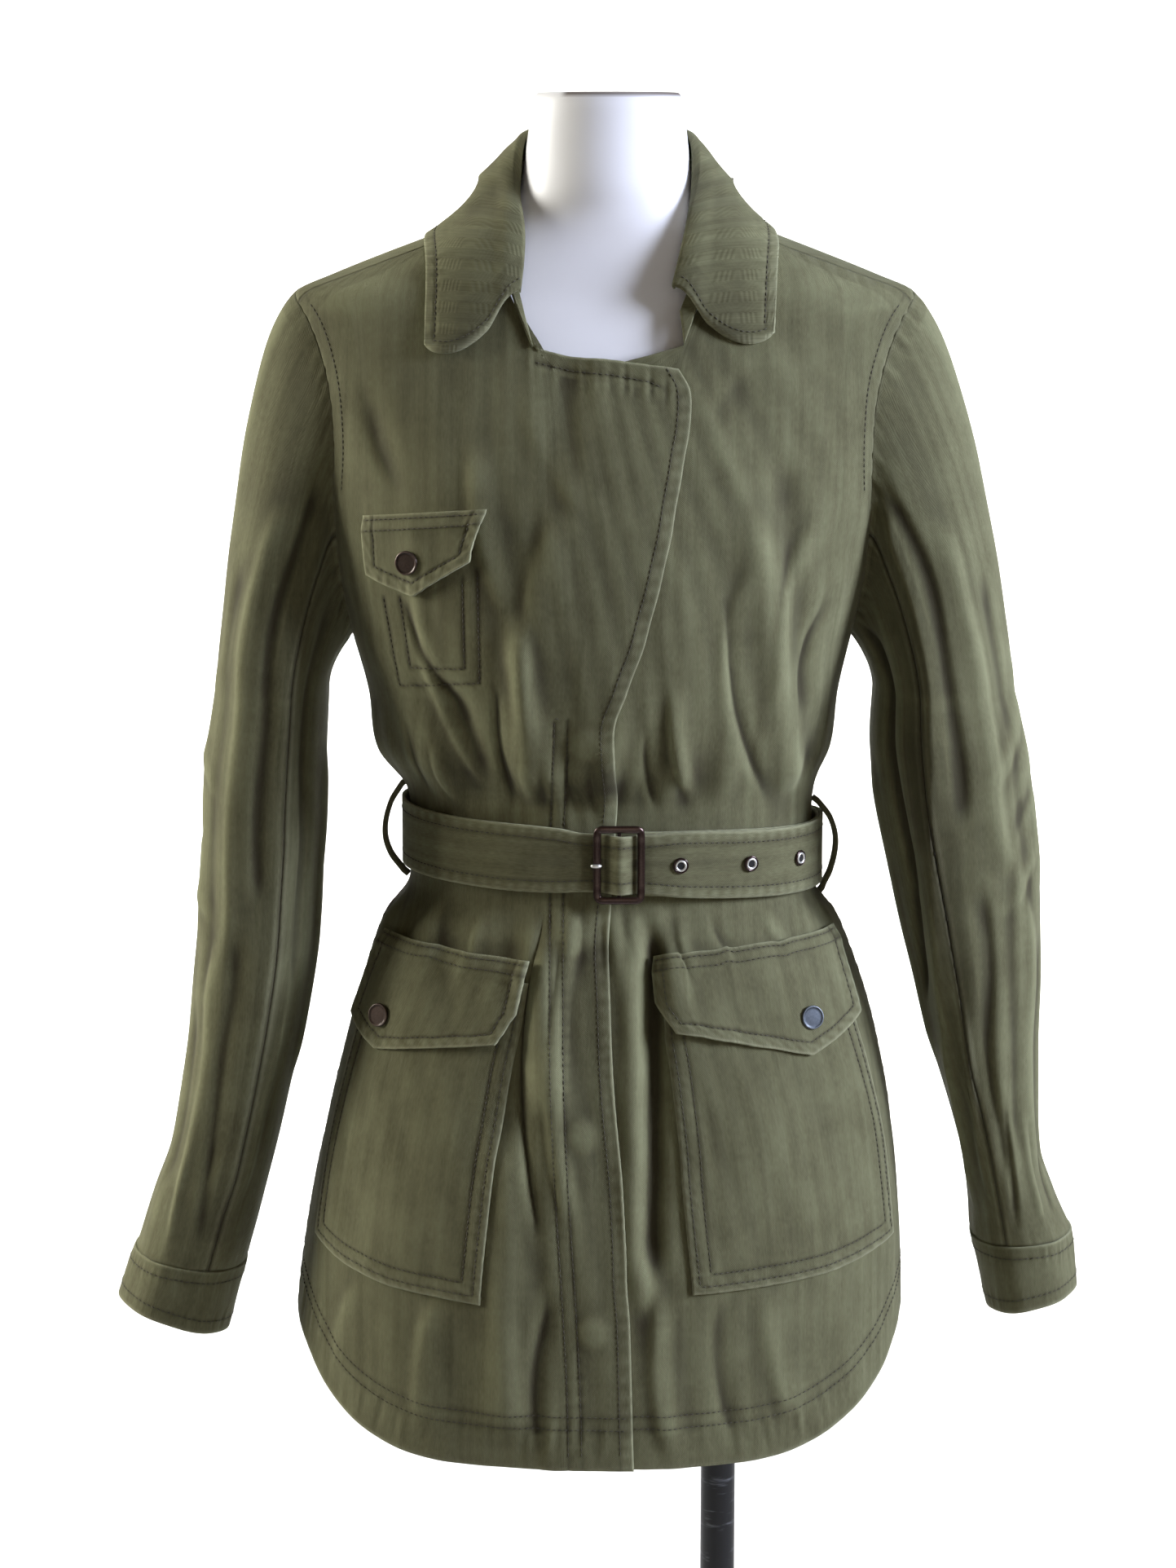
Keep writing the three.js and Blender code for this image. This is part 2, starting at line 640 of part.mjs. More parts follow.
// Pockets and flaps, each a layer on the front it is sewn to
const PATCHES = {
  pocket_right: {
    on: 'left',
    level: 1,
    thickness: WALL,
    columns: 8,
    rows: 7,
    bottom: [[-178, 661], [-157, 650], [-130, 643], [-74, 638]],
    top: [[-138, 838], [-46, 833]],
    start: [[-178, 661], [-164, 740], [-138, 838]],
    end: [[-74, 638], [-64, 728], [-54, 790], [-46, 833]],
  },
  flap_right: {
    on: 'left',
    level: 2,
    thickness: DOUBLE,
    columns: 7,
    rows: 3,
    bottom: [[-150, 799], [-136, 784], [-64, 796]],
    top: [[-138, 855], [-92, 850], [-45, 846]],
    start: [[-150, 799], [-138, 855]],
    end: [[-64, 796], [-52, 814], [-45, 846]],
  },
  pocket_left: {
    on: 'right',
    level: 1,
    thickness: WALL,
    columns: 8,
    rows: 7,
    bottom: [[53, 645], [98, 647], [139, 651], [178, 661]],
    top: [[36, 834], [138, 838]],
    start: [[53, 645], [46, 715], [38, 800], [36, 834]],
    end: [[178, 661], [168, 740], [138, 838]],
  },
  flap_left: {
    on: 'right',
    level: 2,
    thickness: DOUBLE,
    columns: 7,
    rows: 3,
    bottom: [[44, 804], [123, 785], [152, 803]],
    top: [[34, 850], [88, 853], [138, 855]],
    start: [[44, 804], [36, 822], [34, 850]],
    end: [[152, 803], [138, 855]],
  },
  flap_chest: {
    on: 'left',
    level: 1,
    thickness: DOUBLE,
    columns: 5,
    rows: 2,
    bottom: [[-139, 1078], [-111, 1067], [-78, 1089]],
    top: [[-142, 1113], [-69, 1119]],
    start: [[-139, 1078], [-142, 1113]],
    end: [[-78, 1089], [-69, 1119]],
  },
};
const LAYER_GAP = 1.05;

function levelOut(piece, angle, z) {
  const below = piece.level > 1 ? WALL + LAYER_GAP : 0;
  return outside[piece.on](angle, z) + below + LAYER_GAP;
}

function pockets() {
  for (const [name, piece] of Object.entries(PATCHES)) {
    const line = (places) => route(...places.slice(1).map((to, i) => fromX([places[i], to])));
    const place = patch(line(piece.bottom), line(piece.top), line(piece.start), line(piece.end));
    const out = (angle, z) => levelOut(piece, angle, z) + piece.thickness / 2;
    add(name, wall(piece.columns, piece.rows, onTorso(place, out), piece.thickness), cloth());
  }
}

// Round metal pieces, set on the cloth by their place on the torso
function setOn(mesh, angle, z, out) {
  const normal = normalOf(draped, angle, z, 1.5, 2);
  mesh.position.copy(torso(angle, z, out));
  mesh.quaternion.setFromUnitVectors(new THREE.Vector3(0, 1, 0), normal);
}

function lathe(profile, segments) {
  const points = profile.map(([radius, height]) => new THREE.Vector2(radius, height));
  return new THREE.LatheGeometry(points, segments);
}

const SNAPS = {
  snap_chest: { x: -114, z: 1087, piece: 'flap_chest' },
  snap_right: { x: -132, z: 804, piece: 'flap_right' },
  snap_left: { x: 122, z: 807, piece: 'flap_left' },
};

function snaps() {
  const r = SNAP_RADIUS;
  const profile = [[0, 0], [r - 0.6, 0], [r, 0.7], [r, 1.4], [r - 0.8, 2.1], [0, 2.4]];
  for (const [name, place] of Object.entries(SNAPS)) {
    const piece = PATCHES[place.piece];
    const angle = angleAt(place.x, place.z);
    const out = levelOut(piece, angle, place.z) + piece.thickness + 0.5;
    setOn(add(name, lathe(profile, 20), darkMetal()), angle, place.z, out);
  }
}

// Belt: one strap from the buckle's middle bar, round the waist, through the buckle and on
const BELT_PATH = [
  { angle: 6, out: 5.9, width: 39 },
  { angle: 24, out: 4.8, width: 40 },
  { angle: 90, out: 5, width: BELT_WIDTH },
  { angle: 270, out: 5, width: BELT_WIDTH },
  { angle: 318, out: 4.6, width: BELT_WIDTH },
  { angle: 336, out: 6, width: BELT_WIDTH },
  { angle: 348, out: 7.6, width: 39 },
  { angle: 353, out: 8.4, width: 36 },
  { angle: 358, out: 8.5, width: 35.5 },
  { angle: 361.6, out: 14.8, width: 35.5 },
  { angle: 365.6, out: 8.7, width: 35.5 },
  { angle: 370, out: 8.7, width: 37 },
  { angle: 376, out: 8.5, width: 40 },
  { angle: 386, out: 7.4, width: BELT_WIDTH },
  { angle: 450, out: 7.5, width: BELT_WIDTH },
  { angle: 474, out: 7.5, width: 36 },
];
const BELT_STOPS = [346, 350, 354, 358, 359.8, 361.6, 363.6, 365.6, 368, 371, 375, 380];
const BUCKLE_OUT = 10.2;
const beltOut = column(BELT_PATH, 'angle', 'out');
const beltWidth = column(BELT_PATH, 'angle', 'width');
const BELT_THICK = 2;

function beltPoint(angle, rise, out) {
  const normal = normalOf(plainTorso, angle, BELT_Z, 1, 1).setZ(0).normalize();
  return plainTorso(angle, BELT_Z).addScaledVector(normal, out).setZ(BELT_Z + beltRise(angle) + rise);
}

function beltRise(angle) {
  return 6 * Math.sin((angle + 180) * Math.PI / 180) * 0.9;
}

function belt() {
  const stops = [];
  for (let angle = 6; angle < 346; angle += 10) stops.push(angle);
  stops.push(...BELT_STOPS);
  for (let angle = 388; angle <= 474; angle += 8.6) stops.push(angle);
  const columns = stops.length - 1;
  const stopAt = (u) => {
    const place = Math.min(Math.max(u, 0), 1) * columns;
    const i = Math.min(Math.floor(place), columns - 1);
    return mix(stops[i], stops[i + 1], place - i);
  };
  const strap = (u, v) => {
    const angle = stopAt(u);
    return beltPoint(angle, (v - 0.5) * beltWidth(angle), beltOut(angle));
  };
  add('belt', wall(columns, 1, offset(strap), BELT_THICK), cloth());
}

function rectangle(left, bottom, right, top) {
  const corners = [[left, bottom], [right, bottom], [right, top], [left, top]];
  return corners.map(([x, y]) => new THREE.Vector2(x, y));
}

function buckle() {
  const { width, height, bar } = BUCKLE;
  const w = width / 2;
  const h = height / 2;
  const outline = new THREE.Shape(rectangle(-w, -h, w, h));
  outline.holes.push(new THREE.Path(rectangle(bar - w, bar - h, w - bar, h - bar)));
  const depth = 2.4;
  const plate = new THREE.ExtrudeGeometry(outline, { depth, bevelEnabled: false });
  const frame = add('buckle', plate, darkMetal());
  const angle = angleAt(BUCKLE.x, BELT_Z);
  frame.position.copy(beltPoint(angle, 0, BUCKLE_OUT));
  frame.rotation.set(Math.PI / 2, 0, 0);
  const barLength = height - 2 * bar - 2 * SEAM;
  const middle = add('buckle_bar', new THREE.CylinderGeometry(1.2, 1.2, barLength, 10), darkMetal());
  middle.position.copy(beltPoint(angle, 0, BUCKLE_OUT + depth / 2));
  middle.rotation.set(Math.PI / 2, 0, 0);
  const prong = add('buckle_prong', new THREE.CylinderGeometry(1.1, 1.3, 7, 10), darkMetal());
  prong.position.copy(beltPoint(angle, 0, BUCKLE_OUT + depth + 1.7)).add(new THREE.Vector3(-14, 0, 0));
  prong.rotation.set(0, 0, Math.PI / 2);
}

const EYELET_ANGLES = { eyelet_1: 16.7, eyelet_2: 38.5, eyelet_3: 60 };

function eyelets() {
  const r = EYELET_RADIUS;
  const hole = 2.1;
  const profile = [[hole, 0], [r, 0], [r, 0.5], [r - 0.8, 0.9], [hole + 0.5, 0.9], [hole, 0.5], [hole, 0]];
  for (const [name, angle] of Object.entries(EYELET_ANGLES)) {
    const mesh = add(name, lathe(profile, 16), darkMetal());
    const normal = normalOf(plainTorso, angle, BELT_Z, 1, 1).setZ(0).normalize();
    mesh.position.copy(beltPoint(angle, 0, beltOut(360 + angle) + BELT_THICK / 2 + SEAM));
    mesh.quaternion.setFromUnitVectors(new THREE.Vector3(0, 1, 0), normal);
  }
}

const LOOP = [
  { z: 950, out: 4.4 }, { z: 942, out: 9 }, { z: 906, out: 13 }, { z: 872, out: 11 }, { z: 860, out: 2.9 },
];
const LOOP_WIDTH = 4.2;

function beltLoops() {
  const out = column(LOOP, 'z', 'out');
  for (const [name, side] of [['left', -1], ['right', 1]]) {
    const surface = (u, v) => {
      const angle = side * 90 + (u - 0.5) * LOOP_WIDTH;
      const z = mix(LOOP[LOOP.length - 1].z, LOOP[0].z, v);
      return plainTorso(angle, z).addScaledVector(new THREE.Vector3(side, 0, 0), out(z));
    };
    add(`belt_loop_${name}`, wall(1, 12, offset(surface), 1.6), cloth());
  }
}

// Dress form and stand
const FORM_SET_BACK = [
  { z: FORM_BOTTOM, in: 12 }, { z: 860, in: 9 }, { z: 884, in: 2.5 }, { z: 928, in: 2.5 },
  { z: 965, in: 8 }, { z: 1100, in: 7 }, { z: 1170, in: 6 }, { z: 1200, in: 14 },
  { z: 1262, in: 14 }, { z: 1290, in: 3.5 }, { z: 1306, in: 0.3 }, { z: NECK_TOP, in: 0.3 },
];
const FORM_LEVELS = [
  640, 643, 690, 740, 800, 850, 884, 928, 965, 1010, 1060, 1110, 1160, 1200, 1228, 1242, 1252, 1264,
  1276, 1288, 1300, 1312, 1336, 1359, NECK_TOP,
];

function dressForm() {
  const around = 32;
  const rings = FORM_LEVELS.map((z) => {
    let inset = column(FORM_SET_BACK, 'z', 'in')(z);
    if (z === FORM_BOTTOM || z === NECK_TOP) inset += 2.5;
    return Array.from({ length: around }, (_, i) => {
      const angle = i * 360 / around;
      const out = normalOf(plainTorso, angle, z, 1, 1).setZ(0).normalize();
      return plainTorso(angle, z).addScaledVector(out, -inset);
    });
  });
  const skin = new THREE.MeshStandardMaterial({ color: '#dcdcdf', roughness: 0.7 });
  add('dress_form', stack(around, rings), skin);
}

function stand() {
  const black = () => new THREE.MeshStandardMaterial({ color: '#1b1b1c', roughness: 0.45, metalness: 0.3 });
  const r = PLATE_RADIUS;
  const edge = [[r - 2, 0], [r, 2], [r, PLATE_HEIGHT - 4], [r - 4, PLATE_HEIGHT]];
  const plate = [[0, 0], ...edge, [0, PLATE_HEIGHT]];
  add('base_plate', lathe(plate, 48), black()).rotation.set(Math.PI / 2, 0, 0);
  const inner = POLE_RADIUS + SEAM;
  const socket = [[inner, 0], [22, 0], [22, 20], [20, 22], [inner, 22], [inner, 0]];
  const bottom = add('pole_socket', lathe(socket, 24), black());
  bottom.position.set(POLE_X, 0, PLATE_HEIGHT + SEAM);
  const under = add('form_socket', lathe(socket, 24), black());
  under.position.set(POLE_X, 0, FORM_BOTTOM - 22 - SEAM);
  const length = FORM_BOTTOM - PLATE_HEIGHT - 2 * SEAM;
  const pole = add('pole', new THREE.CylinderGeometry(POLE_RADIUS, POLE_RADIUS, length, 20), black());
  pole.position.set(POLE_X, 0, PLATE_HEIGHT + SEAM + length / 2);
  for (const mesh of [bottom, under, pole]) mesh.rotation.set(Math.PI / 2, 0, 0);
}

bodyPanels();
sleeves();
collar();
pockets();
snaps();
belt();
buckle();
eyelets();
beltLoops();
dressForm();
stand();

export default jacket;
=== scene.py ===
"""A belted field jacket on a limbless dress form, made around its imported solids."""
import math

import bmesh
import bpy
import numpy as np
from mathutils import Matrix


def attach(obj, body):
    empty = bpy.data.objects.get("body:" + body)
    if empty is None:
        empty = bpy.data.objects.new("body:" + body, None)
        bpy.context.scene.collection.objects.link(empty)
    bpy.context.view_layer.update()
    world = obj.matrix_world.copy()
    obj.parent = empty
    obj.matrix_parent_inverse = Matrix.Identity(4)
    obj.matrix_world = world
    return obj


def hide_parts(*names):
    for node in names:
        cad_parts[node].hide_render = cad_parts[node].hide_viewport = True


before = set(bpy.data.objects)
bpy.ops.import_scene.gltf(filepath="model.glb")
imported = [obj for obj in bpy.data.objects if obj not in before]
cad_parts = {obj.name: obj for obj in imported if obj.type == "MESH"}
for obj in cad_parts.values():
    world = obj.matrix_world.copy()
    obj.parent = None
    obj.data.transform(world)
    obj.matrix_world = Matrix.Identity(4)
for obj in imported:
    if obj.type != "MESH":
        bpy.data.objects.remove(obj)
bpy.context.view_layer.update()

# Camera at the photograph's angle: 2.1 m in front of the form, level with the top of its
# neck and tipped 10.3 degrees down, with a long portrait lens.
SENSOR_MM, FOCAL_PIXELS, PICTURE_HEIGHT = 36, 4200, 1924
camera_data = bpy.data.cameras.new("camera")
camera_data.lens = SENSOR_MM * FOCAL_PIXELS / PICTURE_HEIGHT
camera = bpy.data.objects.new("camera", camera_data)
camera.location = (-0.010, -2.100, 1.320)
camera.rotation_euler = (math.radians(90 - 10.3), 0, 0)
bpy.context.scene.collection.objects.link(camera)
bpy.context.scene.camera = camera
bpy.context.scene.view_settings.view_transform = "Standard"


# Floor and backdrop: one pale round sheet that turns up all round the form in a wide bend, as
# studio paper does, under a cool window from the viewer's right, a weaker one from the left, a
# dim warm room in front, and two lamps that light only the paper.
def linear(hex_colour):
    """sRGB hex to linear RGBA: each channel to the power 2.4 above the dark toe."""
    channels = [int(hex_colour[i:i + 2], 16) / 255 for i in (1, 3, 5)]
    return [c / 12.92 if c <= 0.04045 else ((c + 0.055) / 1.055) ** 2.4 for c in channels] + [1]


def node(tree, kind, settings=None, links=None):
    """Adds a node, gives it its settings, and links or fills the inputs named in links."""
    made = tree.nodes.new(kind)
    for name, value in (settings or {}).items():
        setattr(made, name, value)
    for name, value in (links or {}).items():
        socket = made.inputs[name]
        if isinstance(value, bpy.types.NodeSocket):
            tree.links.new(value, socket)
        else:
            socket.default_value = value
    return made


def new_material(name):
    """An empty node material with its shader and output joined."""
    material = bpy.data.materials.new(name)
    material.use_nodes = True
    tree = material.node_tree
    tree.nodes.clear()
    shader = node(tree, "ShaderNodeBsdfPrincipled")
    node(tree, "ShaderNodeOutputMaterial", links={"Surface": shader.outputs["BSDF"]})
    return material, tree, shader


def grid_object(name, points, faces):
    """An object from numpy points in millimetres and quads by index."""
    mesh = bpy.data.meshes.new(name)
    points = np.asarray(points, float).reshape(-1, 3) * 0.001
    faces = np.asarray(faces, np.int32)
    mesh.vertices.add(len(points))
    mesh.vertices.foreach_set("co", points.ravel())
    mesh.loops.add(faces.size)
    mesh.loops.foreach_set("vertex_index", faces.ravel())
    mesh.polygons.add(len(faces))
    mesh.polygons.foreach_set("loop_start", np.arange(len(faces)) * faces.shape[1])
    mesh.polygons.foreach_set("use_smooth", np.full(len(faces), True))
    mesh.update(calc_edges=True)
    made = bpy.data.objects.new(name, mesh)
    bpy.context.scene.collection.objects.link(made)
    return made


def backdrop():
    """Profile: flat floor, a quarter circle of 1.2 m, then a low wall, turned round the Z axis."""
    bend = np.radians(np.linspace(0, 90, 25))
    radius, reach, wall_top, sunk, around = 1200, 4600, 2600, 0.5, 96
    out = np.concatenate([[1], reach + radius * np.sin(bend), [reach + radius]])[:, None]
    z = np.concatenate([[0], radius - radius * np.cos(bend), [wall_top]])[:, None] - sunk
    turn = 2 * np.pi * np.arange(around) / around
    points = np.stack([out * np.cos(turn), out * np.sin(turn), z + 0 * turn], -1)
    ring, i = np.meshgrid(np.arange(len(out) - 1) * around, np.arange(around), indexing="ij")
    after = (i + 1) % around
    faces = np.stack([ring + i, ring + around + i, ring + around + after, ring + after], -1)
    return grid_object("backdrop", points, faces.reshape(-1, 4))


paper = backdrop()
paper_material, _, paper_shader = new_material("matt studio paper")
paper_shader.inputs["Base Color"].default_value = linear("#e4e4e2")
paper_shader.inputs["Roughness"].default_value = 0.9
paper.data.materials.append(paper_material)


def area_light(name, place, aim, size, watts, colour, spread=180):
    """A square soft light at a place, turned towards a point, its beam as wide as the spread:
    pitch = 90 degrees + the aim's rise, heading = the aim's direction from +Y."""
    data = bpy.data.lights.new(name, "AREA")
    data.size = size
    data.energy = watts
    data.spread = math.radians(spread)
    data.color = linear(colour)[:3]
    lamp = bpy.data.objects.new(name, data)
    lamp.location = place
    way = np.array(aim) - np.array(place)
    across = math.hypot(way[0], way[1])
    lamp.rotation_euler = (math.pi / 2 + math.atan2(way[2], across), 0, math.atan2(-way[0], way[1]))
    bpy.context.scene.collection.objects.link(lamp)


area_light("window", (2.65, -0.85, 1.9), (0, 0, 0.95), 1.0, 31, "#dfe7ff", 70)
area_light("far_window", (-2.6, 0.35, 1.7), (-0.15, 0, 0.85), 1.2, 19, "#f6f4ec", 60)
area_light("room", (0.2, -2.7, 1.5), (0, 0, 0.9), 1.8, 1.6, "#ffb65c")
area_light("ceiling", (0.5, 0.3, 3.2), (0, 0, 1.0), 1.3, 3, "#f6f9ff", 60)
area_light("paper_light", (0, 2.3, 3.6), (0, 4.0, 0.4), 3.0, 260, "#ffffff", 100)
area_light("front_paper_light", (0, -3.4, 3.4), (0, -5.2, 0.6), 2.0, 26, "#ffffff", 90)
world = bpy.data.worlds.new("studio")
world.use_nodes = True
world.node_tree.nodes["Background"].inputs["Color"].default_value = linear("#f4dcac")
world.node_tree.nodes["Background"].inputs["Strength"].default_value = 0.07
bpy.context.scene.world = world


# Olive herringbone twill: washed cotton, woven in upright herringbone ribs about 6 mm wide,
# faded in streaks along the warp and paler on every worn edge, with painted highlight on the
# crests of folds and painted shade, dark brown, in creases, hollows, seams and stitch grooves.
# Real threads lie about 0.5 mm apart; the ridges here are 1.15 mm, so that they still show.
def noise(tree, vector, scale, detail, roughness=0.5):
    """Value of a noise texture at a place."""
    return node(tree, "ShaderNodeTexNoise", links={
        "Vector": vector, "Scale": scale, "Detail": detail, "Roughness": roughness}).outputs["Fac"]


def stretched(tree, vector, scale):
    """A place with each of its axes scaled: repeats to the metre along X, Y and Z."""
    return node(tree, "ShaderNodeMapping", links={"Vector": vector, "Scale": scale}).outputs["Vector"]


def blend(tree, amount, first, second):
    """A colour between two, by an amount that is held between 0 and 1."""
    return node(tree, "ShaderNodeMix", {"data_type": "RGBA", "clamp_factor": True}, {
        "Factor": amount, "A": first, "B": second}).outputs["Result"]


def bumped(tree, shader, height, distance, strength):
    """The shader's normal tilted by a height, as deep as the distance in metres."""
    made = node(tree, "ShaderNodeBump", links={
        "Height": height, "Distance": distance, "Strength": strength})
    tree.links.new(made.outputs["Normal"], shader.inputs["Normal"])


def attribute(tree, name):
    """A value that the mesh carries under a name."""
    return node(tree, "ShaderNodeAttribute", {"attribute_name": name}).outputs["Fac"]


def twill_material(name, light, dark):
    """Diagonal ridges: a sine of the way up plus the way across folded back at each rib, from
    the UV map in metres. Streaks run up the warp, clouds are patchy fading, slubs are single
    thicker threads. All of them, with the painted highlight on the crests of folds, set how pale
    the colour is; the worn edges are mixed in after that, then the painted shade of creases,
    hollows, seams and stitch grooves."""
    material, tree, shader = new_material(name)
    uv = node(tree, "ShaderNodeUVMap", {"uv_map": "cloth"}).outputs["UV"]
    split = node(tree, "ShaderNodeSeparateXYZ", links={"Vector": uv})
    across, along = split.outputs["X"], split.outputs["Y"]

    def maths(operation, first, second=0.0, third=0.0):
        return node(tree, "ShaderNodeMath", {"operation": operation},
                    {0: first, 1: second, 2: third}).outputs[0]

    rib, thread = 0.0062, 0.00115
    turning = maths("PINGPONG", across, rib)
    phase = maths("MULTIPLY", maths("ADD", turning, along), 2 * math.pi / thread)
    ridges = maths("MULTIPLY_ADD", maths("SINE", phase), 0.5, 0.5)
    ribs = maths("DIVIDE", turning, rib)
    streaks = noise(tree, stretched(tree, uv, (190, 8, 1)), 1.0, 4.0, 0.6)
    clouds = noise(tree, node(tree, "ShaderNodeTexCoord").outputs["Object"], 26.0, 6.0, 0.68)
    slubs = noise(tree, stretched(tree, uv, (1300, 240, 1)), 1.0, 2.0)
    wear, painted_shade, painted_highlight = (attribute(tree, value) for value in ("wear", "painted_shade", "painted_highlight"))
    level = maths("MULTIPLY_ADD", streaks, 0.62, -0.31)
    level = maths("MULTIPLY_ADD", clouds, 0.75, maths("ADD", level, 0.06))
    level = maths("MULTIPLY_ADD", ridges, 0.10, level)
    level = maths("MULTIPLY_ADD", ribs, 0.06, level)
    level = maths("MULTIPLY_ADD", slubs, 0.5, maths("ADD", level, -0.30))
    # Painted highlight: the crests of folds are made paler.
    level = maths("MULTIPLY_ADD", painted_highlight, 0.32, level)
    base = blend(tree, level, linear(dark), linear(light))
    paleness = maths("MULTIPLY", wear, maths("MULTIPLY_ADD", slubs, 0.9, 0.15))
    faded = blend(tree, paleness, base, linear("#97987a"))
    # Painted shade: creases, hollows, seams and stitch grooves darken towards dark brown.
    with_painted_shade = blend(tree, maths("MULTIPLY", painted_shade, 0.8), faded, linear("#2a2415"))
    height = maths("MULTIPLY_ADD", slubs, 0.5, maths("MULTIPLY_ADD", ribs, 0.35, ridges))
    bumped(tree, shader, height, 0.00022, 0.55)
    tree.links.new(with_painted_shade, shader.inputs["Base Color"])
    shader.inputs["Roughness"].default_value = 0.86
    shader.inputs["Specular IOR Level"].default_value = 0.28
    shader.inputs["Sheen Weight"].default_value = 0.22
    shader.inputs["Sheen Roughness"].default_value = 0.45
    shader.inputs["Sheen Tint"].default_value = linear("#b9bba0")
    return material


twill = twill_material("washed cotton herringbone twill", "#757658", "#373118")


# Torso of the jacket: rings stacked by height that every panel, pocket and flap is cut from.
# Each ring is a rounded oblong with its own front and back depth; the folds are pressed
# into it as soft troughs and ridges.
RINGS = np.array([
    # height, left, right, front depth, back depth, squareness
    (500, -200, 192, 121, 116, 2.3), (560, -198, 190, 121, 116, 2.3), (610, -193, 188, 119, 115, 2.3),
    (675, -184, 185, 115, 113, 2.3), (740, -170, 178, 109, 106, 2.3), (804, -153, 163, 100, 95, 2.3),
    (856, -137, 143, 89, 80, 2.2), (878, -121, 129, 82, 71, 2.2), (906, -120, 128, 81, 70, 2.2),
    (940, -121, 129, 82, 71, 2.2), (965, -138, 138, 95, 83, 2.2), (1000, -144, 143, 106, 92, 2.2),
    (1035, -154, 151, 111, 97, 2.2), (1080, -166, 163, 108, 98, 2.2), (1120, -175, 172, 101, 97, 2.2),
    (1160, -181, 179, 90, 94, 2.2), (1200, -186, 185, 76, 90, 2.2), (1230, -188, 188, 64, 85, 2.2),
    (1242, -186, 186, 59, 82, 2.2), (1252, -164, 164, 56, 79, 2.2), (1264, -134, 134, 53, 76, 2.2),
    (1276, -102, 103, 50, 71, 2.1), (1288, -72, 74, 47.5, 65, 2.0), (1300, -55, 57, 46, 60, 2.0),
    (1312, -50, 53, 45, 56, 2.0), (1336, -46.5, 50, 41, 51, 2.0), (1361, -43, 47, 38, 47, 2.0),
], float)


def curve(at, values, place):
    """Smooth curve through a table: cubic pieces whose slopes come from the rows either side."""
    at, values = np.asarray(at, float), np.asarray(values, float)
    low = np.maximum(np.arange(len(at)) - 1, 0)
    high = np.minimum(np.arange(len(at)) + 1, len(at) - 1)
    slope = (values[high] - values[low]) / (at[high] - at[low])
    place = np.clip(place, at[0], at[-1])
    i = np.clip(np.searchsorted(at, place, "right") - 1, 0, len(at) - 2)
    step = at[i + 1] - at[i]
    s = (place - at[i]) / step
    start = (2 * s**3 - 3 * s * s + 1) * values[i] + (s**3 - 2 * s * s + s) * step * slope[i]
    end = (3 * s * s - 2 * s**3) * values[i + 1] + (s**3 - s * s) * step * slope[i + 1]
    return start + end


def ease(low, high, value):
    """0 below low, 1 above high, and a smooth S between."""
    t = np.clip((value - low) / (high - low), 0, 1)
    return t * t * (3 - 2 * t)


def mix(a, b, t):
    """From a at 0 to b at 1 in a straight line."""
    return a + (b - a) * t


def bell(distance, width=1.6):
    """1 on a line, falling away to nothing either side of it as a bell curve."""
    return np.exp(-(distance / width) ** 2)


def unit(vectors):
    """Directions: vectors divided by their own length."""
    return vectors / np.maximum(np.linalg.norm(vectors, axis=-1, keepdims=True), 1e-9)


def lengths(points, axis=0):
    """Length so far along each row or column of points: the sum of its steps, from 0."""
    steps = np.linalg.norm(np.diff(points, axis=axis), axis=-1)
    start = np.zeros_like(points.take([0], axis)[..., 0])
    return np.concatenate([start, np.cumsum(steps, axis)], axis)


def plain_torso(angle, z):
    """Rounded oblong: x = middle + half sin^p, y = -depth cos^p, with angle 0 at the front."""
    s, c = np.sin(np.radians(angle)), np.cos(np.radians(angle))
    left, right, front, back, square = (curve(RINGS[:, 0], RINGS[:, i], z) for i in range(1, 6))
    power = 2 / square
    x = (left + right) / 2 + (right - left) / 2 * np.sign(s) * np.abs(s) ** power
    y = -np.where(c > 0, front, back) * np.sign(c) * np.abs(c) ** power
    return np.stack([x, y, z + 0 * x], -1)


def normal_of(surface, a, b, step_a, step_b):
    """Outward direction of a surface: its slope one way crossed with its slope the other."""
    way_a = surface(a + step_a, b) - surface(a - step_a, b)
    way_b = surface(a, b + step_b) - surface(a, b - step_b)
    return unit(np.cross(way_a, way_b))


